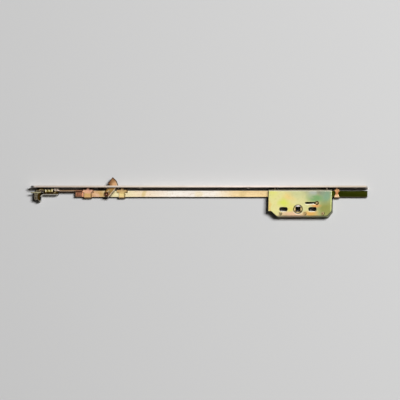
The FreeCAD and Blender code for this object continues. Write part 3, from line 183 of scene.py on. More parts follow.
def colourRun(tree, colour, place, run):
    # the film's colour where it changes along, across or round the piece; in some looks the run is
    # painted reflection or painted shade
    offset = addNode(tree, "ShaderNodeVectorMath", {
        "operation": "SUBTRACT", 1: [value * mm for value in run["from"]],
    }, {0: place})
    if run["way"] == "round":
        flat = addNode(tree, "ShaderNodeVectorMath", {"operation": "MULTIPLY", 1: (1, 1, 0)}, {
            0: offset.outputs["Vector"],
        })
        distance = addNode(tree, "ShaderNodeVectorMath", {"operation": "LENGTH"}, {
            0: flat.outputs["Vector"],
        }).outputs["Value"]
    else:
        axes = addNode(tree, "ShaderNodeSeparateXYZ", {}, {"Vector": offset.outputs["Vector"]})
        distance = axes.outputs[run["way"]]
    share = addNode(tree, "ShaderNodeMapRange", {"From Max": run["length"] * mm}, {
        "Value": distance,
    })
    ramp = addNode(tree, "ShaderNodeValToRGB", {}, {"Fac": share.outputs["Result"]})
    setRamp(ramp, run["film"])
    return addNode(tree, "ShaderNodeMix", {"data_type": "RGBA", 0: run["amount"]}, {
        6: colour, 7: ramp.outputs["Color"],
    }).outputs[2]


def colourPatch(tree, colour, place, centre, radii, patchColour, strength, softness):
    # a patch of colour: a thicker or thinner film in most looks, a painted highlight or painted
    # shadow in some
    patchPlace = addNode(tree, "ShaderNodeMapping", {
        "Location": (-centre[0] / radii[0], -centre[1] / radii[1], 0.0),
        "Scale": (1 / (radii[0] * mm), 1 / (radii[1] * mm), 0.0),
    }, {"Vector": place})
    ball = addNode(tree, "ShaderNodeTexGradient", {"gradient_type": "SPHERICAL"}, {
        "Vector": patchPlace.outputs["Vector"],
    })
    share = addNode(tree, "ShaderNodeMapRange", {
        "interpolation_type": "SMOOTHSTEP", "From Max": softness, "To Max": strength,
    }, {"Value": ball.outputs["Fac"]})
    return addNode(tree, "ShaderNodeMix", {"data_type": "RGBA", 7: linear(patchColour)}, {
        0: share.outputs["Result"], 6: colour,
    }).outputs[2]


def darkSpots(tree, colour, place, look):
    # small spots where the film is stained
    spots = addNode(tree, "ShaderNodeTexNoise", {
        "Scale": 1 / (look["spotSize"] * mm),
        "Detail": zincFilm["spotDetail"], "Roughness": zincFilm["spotRoughness"],
    }, {"Vector": place})
    share = addNode(tree, "ShaderNodeMapRange", {
        "From Min": zincFilm["spotStarts"], "From Max": zincFilm["spotFull"],
        "To Max": look["spotAmount"],
    }, {"Value": spots.outputs["Fac"]})
    return addNode(tree, "ShaderNodeMix", {"data_type": "RGBA", 7: linear(look["spotColour"])}, {
        0: share.outputs["Result"], 6: colour,
    }).outputs[2]


def paintedEdgeLight(tree, colour, cut):
    # painted shade and painted highlights on walls and edges that face one way
    rounded = addNode(tree, "ShaderNodeBevel", {
        "samples": zincFilm["edgeSamples"], "Radius": cut["reach"] * mm,
    })
    inPlace = addNode(tree, "ShaderNodeVectorTransform", {
        "vector_type": "NORMAL", "convert_from": "WORLD", "convert_to": "OBJECT",
    }, {"Vector": rounded.outputs["Normal"]})
    facing = addNode(tree, "ShaderNodeVectorMath", {
        "operation": "DOT_PRODUCT", 1: cut["towards"],
    }, {0: inPlace.outputs["Vector"]})
    share = addNode(tree, "ShaderNodeMapRange", {
        "From Min": cut["starts"], "From Max": cut["full"], "To Max": cut["amount"],
    }, {"Value": facing.outputs["Value"]})
    return addNode(tree, "ShaderNodeMix", {"data_type": "RGBA", 7: linear(cut["colour"])}, {
        0: share.outputs["Result"], 6: colour,
    }).outputs[2]


def satinGrain(tree, place, look):
    # one grain gives both the gloss and the relief
    grainPlace = addNode(tree, "ShaderNodeMapping", {
        "Scale": [1 / (size * mm) for size in look["grainSize"]],
    }, {"Vector": place})
    grain = addNode(tree, "ShaderNodeTexNoise", {
        "Scale": 1.0, "Detail": zincFilm["grainDetail"], "Roughness": zincFilm["grainRoughness"],
    }, {"Vector": grainPlace.outputs["Vector"]})
    gloss = addNode(tree, "ShaderNodeMapRange", {
        "From Min": zincFilm["grainLow"], "From Max": zincFilm["grainHigh"],
        "To Min": look["roughness"] - look["roughnessDrift"],
        "To Max": look["roughness"] + look["roughnessDrift"],
    }, {"Value": grain.outputs["Fac"]})
    bump = addNode(tree, "ShaderNodeBump", {
        "Strength": look["bump"], "Distance": zincFilm["relief"] * mm,
    }, {"Height": grain.outputs["Fac"]})
    return gloss.outputs["Result"], bump.outputs["Normal"]


def passivatedZinc(name, look):
    # the film in layers, from its slow drift to the painted light and shade at its edges, over the
    # grain
    material, tree, output = newMaterial(name)
    place = addNode(tree, "ShaderNodeTexCoord").outputs["Object"]
    driftPlace = addNode(tree, "ShaderNodeMapping", {
        "Scale": [1 / (size * mm) for size in look["patchSize"]],
    }, {"Vector": place})
    drift = addNode(tree, "ShaderNodeTexNoise", {
        "Scale": 1.0, "Detail": zincFilm["driftDetail"],
        "Roughness": zincFilm["driftRoughness"], "Distortion": zincFilm["driftWarp"],
    }, {"Vector": driftPlace.outputs["Vector"]})
    ramp = addNode(tree, "ShaderNodeValToRGB", {}, {"Fac": drift.outputs["Fac"]})
    setRamp(ramp, look["film"])
    colour = ramp.outputs["Color"]

    # the drift also stirs the place, so that the borders of runs and patches wander
    centred = addNode(tree, "ShaderNodeVectorMath", {"operation": "SUBTRACT", 1: (0.5, 0.5, 0.5)}, {
        0: drift.outputs["Color"],
    })
    stirred = addNode(tree, "ShaderNodeVectorMath", {
        "operation": "MULTIPLY_ADD", 1: [value * mm for value in look["stir"]],
    }, {0: centred.outputs["Vector"], 2: place}).outputs["Vector"]

    for run in look.get("runs", ()):
        colour = colourRun(tree, colour, stirred, run)
    for patch in look.get("patches", ()):
        colour = colourPatch(tree, colour, stirred, *patch)
    colour = darkSpots(tree, colour, place, look)
    # painted light and shade along edges, laid over the film
    for cut in look.get("cuts", ()):
        colour = paintedEdgeLight(tree, colour, cut)
    gloss, relief = satinGrain(tree, place, look)
    shader = addNode(tree, "ShaderNodeBsdfPrincipled", {"Metallic": 1.0}, {
        "Base Color": colour, "Roughness": gloss, "Normal": relief,
    })
    tree.links.new(shader.outputs["BSDF"], output.inputs["Surface"])
    return material


# Looks: "film" and "runs" are ramps of colour, "runs" start at "from" and go on for
# "length", the patches are (middle, radii, colour, strength, softness), and the edge
# marks paint light or shade on what faces "towards" within "reach" of an edge.

drawnBar = {
    # flat bar drawn through a die: grain along its length, straw and silver film
    "patchSize": (71.43, 16.67, 16.67),
    "film": [(0.30, "#E2B99C"), (0.42, "#EACFA6"), (0.52, "#F0DFBC"), (0.62, "#E6CE96"),
             (0.74, "#D9D6A4")],
    "stir": (12, 2, 2),
    # the run along the bar is partly film and partly painted reflection: near-white round the
    # middle, darker towards the left end
    "runs": [{
        "way": "X", "from": (-331.3, 0, 0), "length": 319, "amount": 0.84,
        "film": [(0.04, "#C08A6C"), (0.10, "#E2B688"), (0.16, "#F6EEBC"), (0.24, "#FAF0C8"),
                 (0.32, "#FCE8D0"), (0.46, "#FCFAF8"), (0.64, "#FAF6F0"), (0.74, "#F4DAA8"),
                 (0.90, "#EED29C"), (1.00, "#F4DCCC")],
    }],
    "patches": [
        ((-294, 24.5), (9, 8), "#B89040", 0.64, 1.0),     # left of the hook's pivot
        ((-300, 22), (6, 5), "#F0C8B0", 0.70, 1.0),
        ((-229, 25), (4, 7), "#D8C070", 0.55, 0.60),
        ((-150, 24), (9, 6), "#F2E0B0", 0.50, 0.60),
        ((-84, 24), (8, 6), "#D8C088", 0.55, 0.60),
    ],
    # painted shade: the side walls and their rounded edges are darkened brown
    "cuts": [
        {"reach": 0.3, "towards": (0, 0, 1),
         "starts": 0.85, "full": 0.45, "amount": 0.8, "colour": "#4A3418"},
    ],
    "grainSize": (16.67, 0.3846, 0.3846),
    "spotSize": 2.381, "spotAmount": 0.30, "spotColour": "#B98F62",
    "roughness": 0.32, "roughnessDrift": 0.07, "bump": 0.12,
}
shadedBar = {
    # the same bar, its colour darkened to olive as painted shade on the rod right of the case
    "patchSize": (55.56, 16.67, 16.67),
    "film": [(0.32, "#212504"), (0.48, "#2B3007"), (0.62, "#38390D"), (0.74, "#484014")],
    "stir": (12, 2, 2),
    # painted reflection: the walls that face -Y are lighter olive
    "cuts": [
        {"reach": 0.3, "towards": (0, -1, 0),
         "starts": 0.15, "full": 0.60, "amount": 0.8, "colour": "#7A6A36"},
    ],
    "grainSize": (16.67, 0.3846, 0.3846),
    "spotSize": 2.381, "spotAmount": 0.30, "spotColour": "#20200C",
    "roughness": 0.34, "roughnessDrift": 0.07, "bump": 0.12,
}
pressedSheet = {
    # sheet pressed into a shell: no direction in the grain, yellow going to a darker grey green
    # towards the right, partly film and partly painted shade
    "patchSize": (29.41, 25.0, 25.0),
    "film": [(0.30, "#D6C395"), (0.43, "#D0CB8F"), (0.55, "#CBC790"), (0.68, "#BDC397"),
             (0.80, "#AAB897")],
    "stir": (20, 20, 0),
    "runs": [{
        "way": "X", "from": (-44.8, 0, 0), "length": 94.6, "amount": 0.6,
        "film": [(0.0, "#D4D28F"), (0.40, "#CDC995"), (0.66, "#B9BB89"), (0.84, "#949B74"),
                 (1.0, "#848C52")],
    }],
    "patches": [
        ((-2, 26), (24, 13), "#B9BC8C", 0.80, 1.0),       # top middle, pale green grey
        ((-41, 28), (16, 14), "#CFD070", 0.80, 1.0),      # top left, yellow
        ((-23, 9), (14, 11), "#C8D054", 0.90, 1.0),       # lemon
        ((-14, 18), (15, 10), "#DABE74", 0.75, 1.0),
        ((-11, 0), (12, 13), "#D0C660", 0.80, 1.0),       # beside the hub
        ((34, 29), (32, 16), "#868874", 1.00, 0.8),       # top right, grey
        ((27, 16), (19, 9), "#6E9664", 0.95, 0.9),        # green
        ((23, 23), (9, 6), "#A6ACA6", 0.85, 1.0),         # lavender grey
        ((42, 19), (13, 17), "#76987E", 0.90, 0.9),       # right, blue green
        ((42, 1), (20, 18), "#848848", 0.90, 0.8),        # right, olive
        ((26, 6), (13, 5), "#D09454", 0.95, 0.9),         # orange under the guide slot
        ((-8, -9), (34, 8), "#D0AE90", 0.95, 0.8),        # along the lower edge
        ((20, -8), (17, 7), "#CE9C50", 0.90, 0.9),
        ((-43, 4), (4, 22), "#D8B468", 0.70, 1.0),        # left edge
    ],
    # painted light and shade on the edges: a painted highlight along the top bend, near-black
    # painted shade along the left edge, dark olive painted shade on the right wall
    "cuts": [
        {"reach": 2.0, "towards": (0, 1, 0),
         "starts": 0.08, "full": 0.25, "amount": 0.9, "colour": "#FFFCE4"},
        {"reach": 1.4, "towards": (-1, 0, 0),
         "starts": 0.08, "full": 0.24, "amount": 0.96, "colour": "#140C06"},
        {"reach": 1.6, "towards": (0.96, -0.28, 0),
         "starts": 0.16, "full": 0.50, "amount": 0.8, "colour": "#505528"},
    ],
    "grainSize": (1.111, 1.111, 1.111),
    "spotSize": 3.333, "spotAmount": 0.20, "spotColour": "#A9A46C",
    "roughness": 0.38, "roughnessDrift": 0.06, "bump": 0.10,
}
flatCover = {
    # the back sheet, olive where the bath drained
    "patchSize": (33.33, 27.78, 33.33),
    "film": [(0.30, "#B7A468"), (0.46, "#A8A468"), (0.62, "#98A070"), (0.76, "#8B9468")],
    "stir": (10, 10, 0),
    # painted shade: the side walls are darkened
    "cuts": [
        {"reach": 0.3, "towards": (0, 0, 1),
         "starts": 0.80, "full": 0.40, "amount": 0.7, "colour": "#4E4A28"},
    ],
    "grainSize": (1.111, 1.111, 1.111),
    "spotSize": 3.333, "spotAmount": 0.25, "spotColour": "#7C7848",
    "roughness": 0.38, "roughnessDrift": 0.06, "bump": 0.10,
}
pinkStrap = {
    # bent straps: a pink patch on the bar, gold down the stem, and painted shade: near-black along
    # the walls and edges that face +X, darker side walls
    "patchSize": (11.11, 9.091, 9.091),
    "film": [(0.32, "#C98A72"), (0.46, "#D7A06C"), (0.58, "#DDB976"), (0.72, "#C8AA5C")],
    "stir": (3, 3, 0),
    "runs": [{
        "way": "Y", "from": (0, 18, 0), "length": 12.5, "amount": 0.7,
        "film": [(0.0, "#D4AE7E"), (0.45, "#C8A66A"), (0.62, "#DCA690"), (1.0, "#E8B6A4")],
    }],
    "cuts": [
        {"reach": 4.0, "towards": (1, 0, 0),
         "starts": 0.05, "full": 0.16, "amount": 0.94, "colour": "#20120A"},
        {"reach": 0.5, "towards": (0, 0, 1),
         "starts": 0.90, "full": 0.60, "amount": 0.6, "colour": "#5A3A1C"},
    ],
    "grainSize": (0.8333, 2.0, 1.111),
    "spotSize": 2.0, "spotAmount": 0.3, "spotColour": "#9C6A44",
    "roughness": 0.36, "roughnessDrift": 0.08, "bump": 0.14,
}
goldStrap = {
    # the same strap from the middle of the bath: straw all over
    "patchSize": (11.11, 9.091, 9.091),
    "film": [(0.32, "#CFAA72"), (0.46, "#D8BD7E"), (0.58, "#DDC98F"), (0.72, "#C6B56B")],
    "stir": (3, 3, 0),
    "runs": [{
        "way": "Y", "from": (0, 18, 0), "length": 12.5, "amount": 0.7,
        "film": [(0.0, "#EECE98"), (0.45, "#F2DE9C"), (0.62, "#C8AA72"), (1.0, "#B4906C")],
    }],
    # painted shade as on the pink strap: near-black on what faces +X, darker side walls
    "cuts": [
        {"reach": 4.0, "towards": (1, 0, 0),
         "starts": 0.05, "full": 0.16, "amount": 0.94, "colour": "#20120A"},
        {"reach": 0.5, "towards": (0, 0, 1),
         "starts": 0.90, "full": 0.60, "amount": 0.6, "colour": "#5A3A1C"},
    ],
    "grainSize": (0.8333, 2.0, 1.111),
    "spotSize": 2.0, "spotAmount": 0.3, "spotColour": "#9C7A44",
    "roughness": 0.36, "roughnessDrift": 0.08, "bump": 0.14,
}
copperStrap = {
    # a thick film with a copper bloom, dull at the waist
    "patchSize": (8.333, 8.333, 8.333),
    "film": [(0.32, "#AC7249"), (0.48, "#CB9363"), (0.62, "#DBB285"), (0.74, "#BC9159")],
    "stir": (2, 2, 0),
    "runs": [{
        "way": "Y", "from": (0, 18, 0), "length": 13.5, "amount": 0.6,
        "film": [(0.0, "#EBD9B6"), (0.30, "#E3BE93"), (0.46, "#91542E"), (0.60, "#AC6C3F"),
                 (1.0, "#DDB285")],
    }],
    # painted shade: the side walls are darkened
    "cuts": [
        {"reach": 0.6, "towards": (0, 0, 1),
         "starts": 0.95, "full": 0.70, "amount": 0.85, "colour": "#5A2A12"},
    ],
    "grainSize": (1.111, 1.111, 1.111),
    "spotSize": 2.0, "spotAmount": 0.3, "spotColour": "#74482C",
    "roughness": 0.34, "roughnessDrift": 0.08, "bump": 0.14,
}
hookSteel = {
    # blanked and tumbled bolt: copper-brown head, olive-gold lever, near-black rounded
    # edges as painted shade, and a painted highlight line along the lever's lower right edge
    "patchSize": (7.692, 9.091, 9.091),
    "film": [(0.30, "#8C603D"), (0.44, "#9F744C"), (0.58, "#AB855D"), (0.72, "#926D46")],
    "stir": (4, 4, 0),
    "runs": [{
        "way": "Y", "from": (0, 18, 0), "length": 31, "amount": 0.6,
        "film": [(0.0, "#A78951"), (0.38, "#9A7F3B"), (0.50, "#967340"), (0.66, "#AA8258"),
                 (1.0, "#7C5739")],
    }],
    "patches": [
        ((-281, 42), (5, 9), "#6E4630", 0.75, 0.60),
        ((-273, 37), (5, 7), "#E2B48A", 0.70, 0.70),
    ],
    "cuts": [
        {"reach": 3.4, "towards": (0.77, -0.64, 0),
         "starts": 0.10, "full": 0.25, "amount": 0.85, "colour": "#FFF6E6"},
        {"reach": 1.9, "towards": (0.77, -0.64, 0),
         "starts": 0.10, "full": 0.25, "amount": 0.95, "colour": "#140C06"},
        {"reach": 2.4, "towards": (-0.77, 0.64, 0),
         "starts": 0.07, "full": 0.20, "amount": 0.96, "colour": "#140C06"},
        {"reach": 2.0, "towards": (0.90, 0.43, 0),
         "starts": 0.07, "full": 0.22, "amount": 0.95, "colour": "#1E160A"},
    ],
    "grainSize": (1.111, 1.111, 1.111),
    "spotSize": 2.0, "spotAmount": 0.3, "spotColour": "#74482C",
    "roughness": 0.36, "roughnessDrift": 0.08, "bump": 0.14,
}
pivotRivet = {
    # tubular rivet: a pale middle inside a dark red-brown ring, which is painted shade of its
    # rolled rim
    "patchSize": (11.11, 11.11, 11.11),
    "film": [(0.32, "#653C2B"), (0.50, "#754D35"), (0.72, "#805F41")],
    "stir": (0.6, 0.6, 0),
    "runs": [{
        "way": "round", "from": (-284.5, 22.8, 0), "length": 3.6, "amount": 0.85,
        "film": [(0.0, "#C09583"), (0.20, "#A0715F"), (0.34, "#3F1713"), (0.62, "#36140F"),
                 (0.80, "#6F4F30"), (1.0, "#8C6D46")],
    }],
    "grainSize": (0.6667, 0.6667, 0.6667),
    "spotSize": 1.111, "spotAmount": 0.3, "spotColour": "#3A2014",
    "roughness": 0.32, "roughnessDrift": 0.08, "bump": 0.12,
}
dieCasting = {
    # zinc die casting under the same film: dark olive brown, matt and finely pitted,
    # with a painted highlight on the rim round its eyelet
    "patchSize": (9.091, 9.091, 9.091),
    "film": [(0.30, "#211502"), (0.46, "#322207"), (0.60, "#3F2F0D"), (0.74, "#493915")],
    "stir": (1, 1, 0),
    "patches": [
        # painted light and shade: a highlight on the eyelet's rim, a near-black shadow below the
        # block, and a dark middle in the eyelet
        ((-381.3, 28.6), (4.2, 2.1), "#847A58", 0.80, 0.25),
        ((-379.5, 17), (5, 13), "#0E0803", 1.00, 0.25),
        ((-381.3, 28.4), (3.0, 1.2), "#3A1A0C", 0.95, 0.30),
        ((-391, 24), (6, 8), "#6E6A50", 0.70, 0.60),
    ],
    # painted light: the walls that face -Y are pale
    "cuts": [
        {"reach": 0.5, "towards": (0, -1, 0),
         "starts": 0.15, "full": 0.60, "amount": 0.9, "colour": "#D8D4C8"},
    ],
    "grainSize": (0.9091, 0.9091, 0.9091),
    "spotSize": 1.667, "spotAmount": 0.45, "spotColour": "#241C0C",
    "roughness": 0.46, "roughnessDrift": 0.08, "bump": 0.22,
}
greyTongue = {
    # sintered tongue, grey olive
    "patchSize": (9.091, 9.091, 9.091),
    "film": [(0.32, "#544D40"), (0.50, "#6C6556"), (0.70, "#807963")],
    "stir": (2, 2, 0),
    "grainSize": (0.7143, 0.7143, 0.7143),
    "spotSize": 1.429, "spotAmount": 0.4, "spotColour": "#3A3426",
    "roughness": 0.44, "roughnessDrift": 0.08, "bump": 0.2,
}
sinteredHub = {
    # sintered steel, fine pores; its outer rim and side walls are darkened as painted shade
    "patchSize": (16.67, 16.67, 16.67),
    "film": [(0.32, "#BCA778"), (0.50, "#C5B585"), (0.66, "#BEAC78"), (0.78, "#ACA170")],
    "stir": (0.8, 0.8, 0),
    "runs": [{
        "way": "round", "from": (0, 0, 0), "length": 6.7, "amount": 0.92,
        "film": [(0.0, "#CEBC8E"), (0.78, "#C4AE7B"), (0.86, "#3F270E"), (1.0, "#231204")],
    }],
    "patches": [((0, 4.5), (4.8, 1.4), "#FFF6F2", 1.00, 0.60)],   # painted highlight above the square hole
    "cuts": [
        {"reach": 1.3, "towards": (0, 0, 1),
         "starts": 0.88, "full": 0.55, "amount": 0.9, "colour": "#24180C"},
    ],
    "grainSize": (0.5556, 0.5556, 0.5556),
    "spotSize": 1.111, "spotAmount": 0.35, "spotColour": "#7E7650",
    "roughness": 0.40, "roughnessDrift": 0.08, "bump": 0.22,
}
pinHead = {
    # headed pin: a bright cup inside a dark ring, which is painted shade of its rolled rim
    "patchSize": (11.11, 11.11, 11.11),
    "film": [(0.32, "#A88C58"), (0.50, "#B89B65"), (0.72, "#C4AA77")],
    "stir": (0.4, 0.4, 0),
    "runs": [{
        "way": "round", "from": (28.1, 9.25, 0), "length": 2.95, "amount": 0.9,
        "film": [(0.0, "#B4A685"), (0.45, "#C8B588"), (0.60, "#4A3113"), (0.80, "#3A2108"),
                 (1.0, "#5A401D")],
    }],
    "grainSize": (0.6667, 0.6667, 0.6667),
    "spotSize": 1.111, "spotAmount": 0.2, "spotColour": "#8C7A4C",
    "roughness": 0.32, "roughnessDrift": 0.08, "bump": 0.12,
}
toothedSlide = {
    # the slide under the case: nearly black, with a painted highlight on its tooth crests at one
    # end
    "patchSize": (11.11, 11.11, 11.11),
    "film": [(0.32, "#0E0804"), (0.50, "#140B07"), (0.72, "#1C130E")],
    "stir": (1, 1, 0),
    "patches": [((21.5, 8.3), (5.5, 1.7), "#FFFAF0", 1.0, 0.30)],
    "grainSize": (0.7143, 0.7143, 0.7143),
    "spotSize": 1.429, "spotAmount": 0.4, "spotColour": "#16120C",
    "roughness": 0.40, "roughnessDrift": 0.08, "bump": 0.18,
}
shadedSteel = {
    # inner pieces: bare sintered steel, painted nearly black as shade, for they sit in shadow
    # inside and behind the case
    "patchSize": (11.11, 11.11, 11.11),
    "film": [(0.32, "#2A241C"), (0.50, "#38302A"), (0.72, "#4A4236")],
    "stir": (2, 2, 0),
    "grainSize": (0.7143, 0.7143, 0.7143),
    "spotSize": 1.429, "spotAmount": 0.4, "spotColour": "#16120C",
    "roughness": 0.36, "roughnessDrift": 0.08, "bump": 0.18,
}
headedRivet = {
    # cold headed steel, with a painted highlight on the edges facing up and left and painted shade
    # on the edges facing down and right
    "patchSize": (11.11, 11.11, 11.11),
    "film": [(0.32, "#C69D6C"), (0.48, "#D6C189"), (0.64, "#D9CE98"), (0.78, "#C2C291")],
    "stir": (1, 1, 0),
    "cuts": [
        {"reach": 0.6, "towards": (-0.8, 0.6, 0),
         "starts": 0.05, "full": 0.30, "amount": 0.7, "colour": "#FFF6DC"},
        {"reach": 1.6, "towards": (0.9, -0.4, 0),
         "starts": 0.06, "full": 0.20, "amount": 0.95, "colour": "#2A1A0C"},
    ],
    "grainSize": (0.6667, 0.6667, 0.6667),
    "spotSize": 1.111, "spotAmount": 0.3, "spotColour": "#8C7A4C",
    "roughness": 0.28, "roughnessDrift": 0.08, "bump": 0.12,
}
redRivet = {
    # countersunk rivets ground flush, red-brown as the flange that they hold
    "patchSize": (11.11, 11.11, 11.11),
    "film": [(0.32, "#7A4A36"), (0.50, "#925E48"), (0.70, "#A4765A")],
    "stir": (1, 1, 0),
    "grainSize": (0.6667, 0.6667, 0.6667),
    "spotSize": 1.111, "spotAmount": 0.3, "spotColour": "#4A2A1C",
    "roughness": 0.36, "roughnessDrift": 0.08, "bump": 0.12,
}
springStrip = {
    # tempered spring strip, brown, turning red where the flange was bent
    "patchSize": (33.33, 14.29, 14.29),
    "film": [(0.32, "#6A4F38"), (0.48, "#856A4E"), (0.62, "#9A7E62"), (0.76, "#877858")],
    "stir": (3, 2, 0),
    "runs": [{
        "way": "X", "from": (-361, 0, 0), "length": 39.7, "amount": 0.7,
        "film": [(0.0, "#856C52"), (0.68, "#A6896C"), (0.80, "#8E5E4A"), (1.0, "#946250")],
    }],
    "grainSize": (12.5, 0.4545, 0.4545),
    "spotSize": 1.429, "spotAmount": 0.3, "spotColour": "#4A3622",
    "roughness": 0.36, "roughnessDrift": 0.07, "bump": 0.1,
}
rolledStrip = {
    # cold rolled strip of the faceplate, warm beige film; lighter in the middle and darker towards
    # both ends, partly film and partly painted reflection, with painted light at the left tip and
    # painted shade on the back face
    "patchSize": (100.0, 16.67, 16.67),
    "film": [(0.30, "#E0D2C8"), (0.45, "#E2D6CA"), (0.58, "#E0D2BE"), (0.72, "#DCD0B6")],
    "stir": (10, 2, 2),
    "runs": [{
        "way": "X", "from": (-399, 0, 0), "length": 500, "amount": 0.85,
        "film": [(0.02, "#BCAEA6"), (0.10, "#C1B3AA"), (0.37, "#E3D8CD"), (0.66, "#F6E9E5"),
                 (0.95, "#BFB4A5")],
    }],
    "patches": [((-400, 33), (12, 12), "#FFFFFF", 1.00, 1.00)],
    "cuts": [
        {"reach": 0.3, "towards": (0, -1, 0),
         "starts": 0.50, "full": 0.90, "amount": 0.85, "colour": "#4E3E2A"},
    ],
    "grainSize": (16.67, 0.5556, 0.5556),
    "spotSize": 2.381, "spotAmount": 0.20, "spotColour": "#A89678",
    "roughness": 0.34, "roughnessDrift": 0.06, "bump": 0.1,
}
paleSplice = {
    # punched zinc plate, pale yellow
    "patchSize": (6.25, 6.25, 6.25),
    "film": [(0.32, "#6E6432"), (0.50, "#8A7E46"), (0.68, "#A4985C")],
    "stir": (1, 1, 0),
    "patches": [
        ((-374.9, 28.4), (1.5, 4), "#F4E8BC", 0.95, 0.50),    # the posts, painted highlights
        ((-369.6, 29.0), (1.5, 3), "#F0E2B4", 0.90, 0.50),
        ((-365.2, 28.4), (1.4, 5), "#DACCA2", 0.95, 0.50),
    ],
    # painted shade: the side walls are darkened
    "cuts": [
        {"reach": 0.3, "towards": (0, 0, 1),
         "starts": 0.88, "full": 0.50, "amount": 0.8, "colour": "#4A3A16"},
    ],
    "grainSize": (0.8333, 0.8333, 0.8333),
    "spotSize": 1.25, "spotAmount": 0.3, "spotColour": "#8C7C44",
    "roughness": 0.34, "roughnessDrift": 0.08, "bump": 0.12,
}
pinkClip = {
    # bright spring clip, pink prongs over a yellow-olive leaf
    "patchSize": (6.25, 6.25, 6.25),
    "film": [(0.32, "#9B8272"), (0.50, "#A79283"), (0.68, "#AD9E8E")],
    "stir": (0.6, 0.6, 0),
    "runs": [{
        "way": "Y", "from": (0, 23.7, 0), "length": 7.1, "amount": 0.8,
        "film": [(0.0, "#80774C"), (0.45, "#7E7144"), (0.60, "#9E8877"), (1.0, "#A89685")],
    }],
    "patches": [
        ((-361.2, 29.3), (2.0, 1.8), "#D4C7BD", 0.95, 0.50),  # the prongs
        ((-356.8, 28.8), (2.0, 2.0), "#D4C7BD", 0.95, 0.50),
        ((-359.0, 24.8), (1.6, 2.0), "#BAAE81", 0.85, 0.50),  # the leaf
    ],
    # painted shade: the side walls are darkened
    "cuts": [
        {"reach": 0.3, "towards": (0, 0, 1),
         "starts": 0.88, "full": 0.50, "amount": 0.8, "colour": "#2E1C14"},
    ],
    "grainSize": (0.8333, 0.8333, 0.8333),
    "spotSize": 1.25, "spotAmount": 0.2, "spotColour": "#A88880",
    "roughness": 0.30, "roughnessDrift": 0.08, "bump": 0.1,
}
oliveLip = {
    # thin blade seen on its edge, light olive
    "patchSize": (9.091, 9.091, 9.091),
    "film": [(0.32, "#8E8A66"), (0.50, "#A8A480"), (0.70, "#BDB898")],
    "stir": (2, 2, 0),
    "grainSize": (12.5, 0.5556, 0.5556),
    "spotSize": 1.429, "spotAmount": 0.3, "spotColour": "#5C5838",
    "roughness": 0.36, "roughnessDrift": 0.07, "bump": 0.1,
}

finishes = {
    "drawnBar": passivatedZinc("yellow-passivated zinc plated drawn bar", drawnBar),
    "shadedBar": passivatedZinc("zinc plated drawn bar darkened as painted shade", shadedBar),
    "pressedSheet": passivatedZinc("yellow-passivated zinc plated pressed sheet", pressedSheet),
    "flatCover": passivatedZinc("olive-passivated zinc plated sheet", flatCover),
    "pinkStrap": passivatedZinc("pink-passivated zinc plated strap", pinkStrap),
    "goldStrap": passivatedZinc("yellow-passivated zinc plated strap", goldStrap),
    "copperStrap": passivatedZinc("heavily passivated zinc plated stamping", copperStrap),
    "hookSteel": passivatedZinc("passivated blanked and tumbled steel", hookSteel),
    "pivotRivet": passivatedZinc("passivated tubular rivet steel", pivotRivet),
    "dieCasting": passivatedZinc("passivated zinc die casting", dieCasting),
    "greyTongue": passivatedZinc("grey sintered steel", greyTongue),
    "sinteredHub": passivatedZinc("passivated sintered steel", sinteredHub),
    "shadedSteel": passivatedZinc("sintered steel darkened as painted shade", shadedSteel),
    "pinHead": passivatedZinc("passivated headed pin steel", pinHead),
    "toothedSlide": passivatedZinc("oiled toothed sintered steel", toothedSlide),
    "headedRivet": passivatedZinc("passivated cold headed rivet steel", headedRivet),
    "redRivet": passivatedZinc("passivated flush rivet steel", redRivet),
    "springStrip": passivatedZinc("tempered spring steel strip", springStrip),
    "rolledStrip": passivatedZinc("yellow-passivated zinc plated rolled strip", rolledStrip),
    "paleSplice": passivatedZinc("yellow-passivated zinc punching", paleSplice),
    "pinkClip": passivatedZinc("bright passivated spring steel", pinkClip),
    "oliveLip": passivatedZinc("olive-passivated blade steel", oliveLip),
}
print("materials made:", len(finishes))

softEdges = {
    # node: (finish, edge radius in mm)
    "faceplate": ("rolledStrip", 0.25),
    "case_shell": ("pressedSheet", 0.35),
    "case_cover": ("flatCover", 0.15),
    "left_drive_rod": ("drawnBar", 0.30),
    "right_drive_rod": ("shadedBar", 0.30),
    "guide_bracket_left": ("pinkStrap", 0.30),
    "guide_bracket_middle": ("goldStrap", 0.30),
    "guide_bracket_right": ("copperStrap", 0.30),
    "hook": ("hookSteel", 0.85),
    "hook_guide_bracket": ("shadedSteel", 0.15),
    "hook_guide_pin": ("headedRivet", 0.12),
    "hook_pivot_rivet": ("pivotRivet", 0.15),
    "hook_spacer_washer": ("redRivet", 0.10),
    "case_rivets": ("headedRivet", 0.12),
    "guide_pin": ("pinHead", 0.12),
    "rod_rivets": ("shadedSteel", 0.12),
    "spindle_follower": ("sinteredHub", 0.15),
    "rack_slide": ("toothedSlide", 0.15),
    "screw_sleeves": ("shadedSteel", 0.08),
    "guide_rail": ("shadedSteel", 0.10),
    "case_spacers": ("shadedSteel", 0.08),
    "case_mounting_studs": ("shadedSteel", 0.12),
    "drive_band": ("springStrip", 0.12),
    "band_rivets": ("redRivet", 0.10),
    "corner_housing": ("dieCasting", 0.20),
    "corner_leaf": ("oliveLip", 0.12),
    "corner_tongue": ("greyTongue", 0.25),
    "toothed_splice": ("paleSplice", 0.12),
    "spring_clip": ("pinkClip", 0.10),
    "corner_lip": ("oliveLip", 0.10),
    "corner_rivet": ("shadedSteel", 0.10),
}
bodyOf = {}
for body, members in frame["record"]["behaviour"]["bodies"].items():
    for member in members:
        bodyOf[member] = body
outlineBends = {"case_shell": 1.1, "hook": 0.9}   # mm, the wide round along the front outline
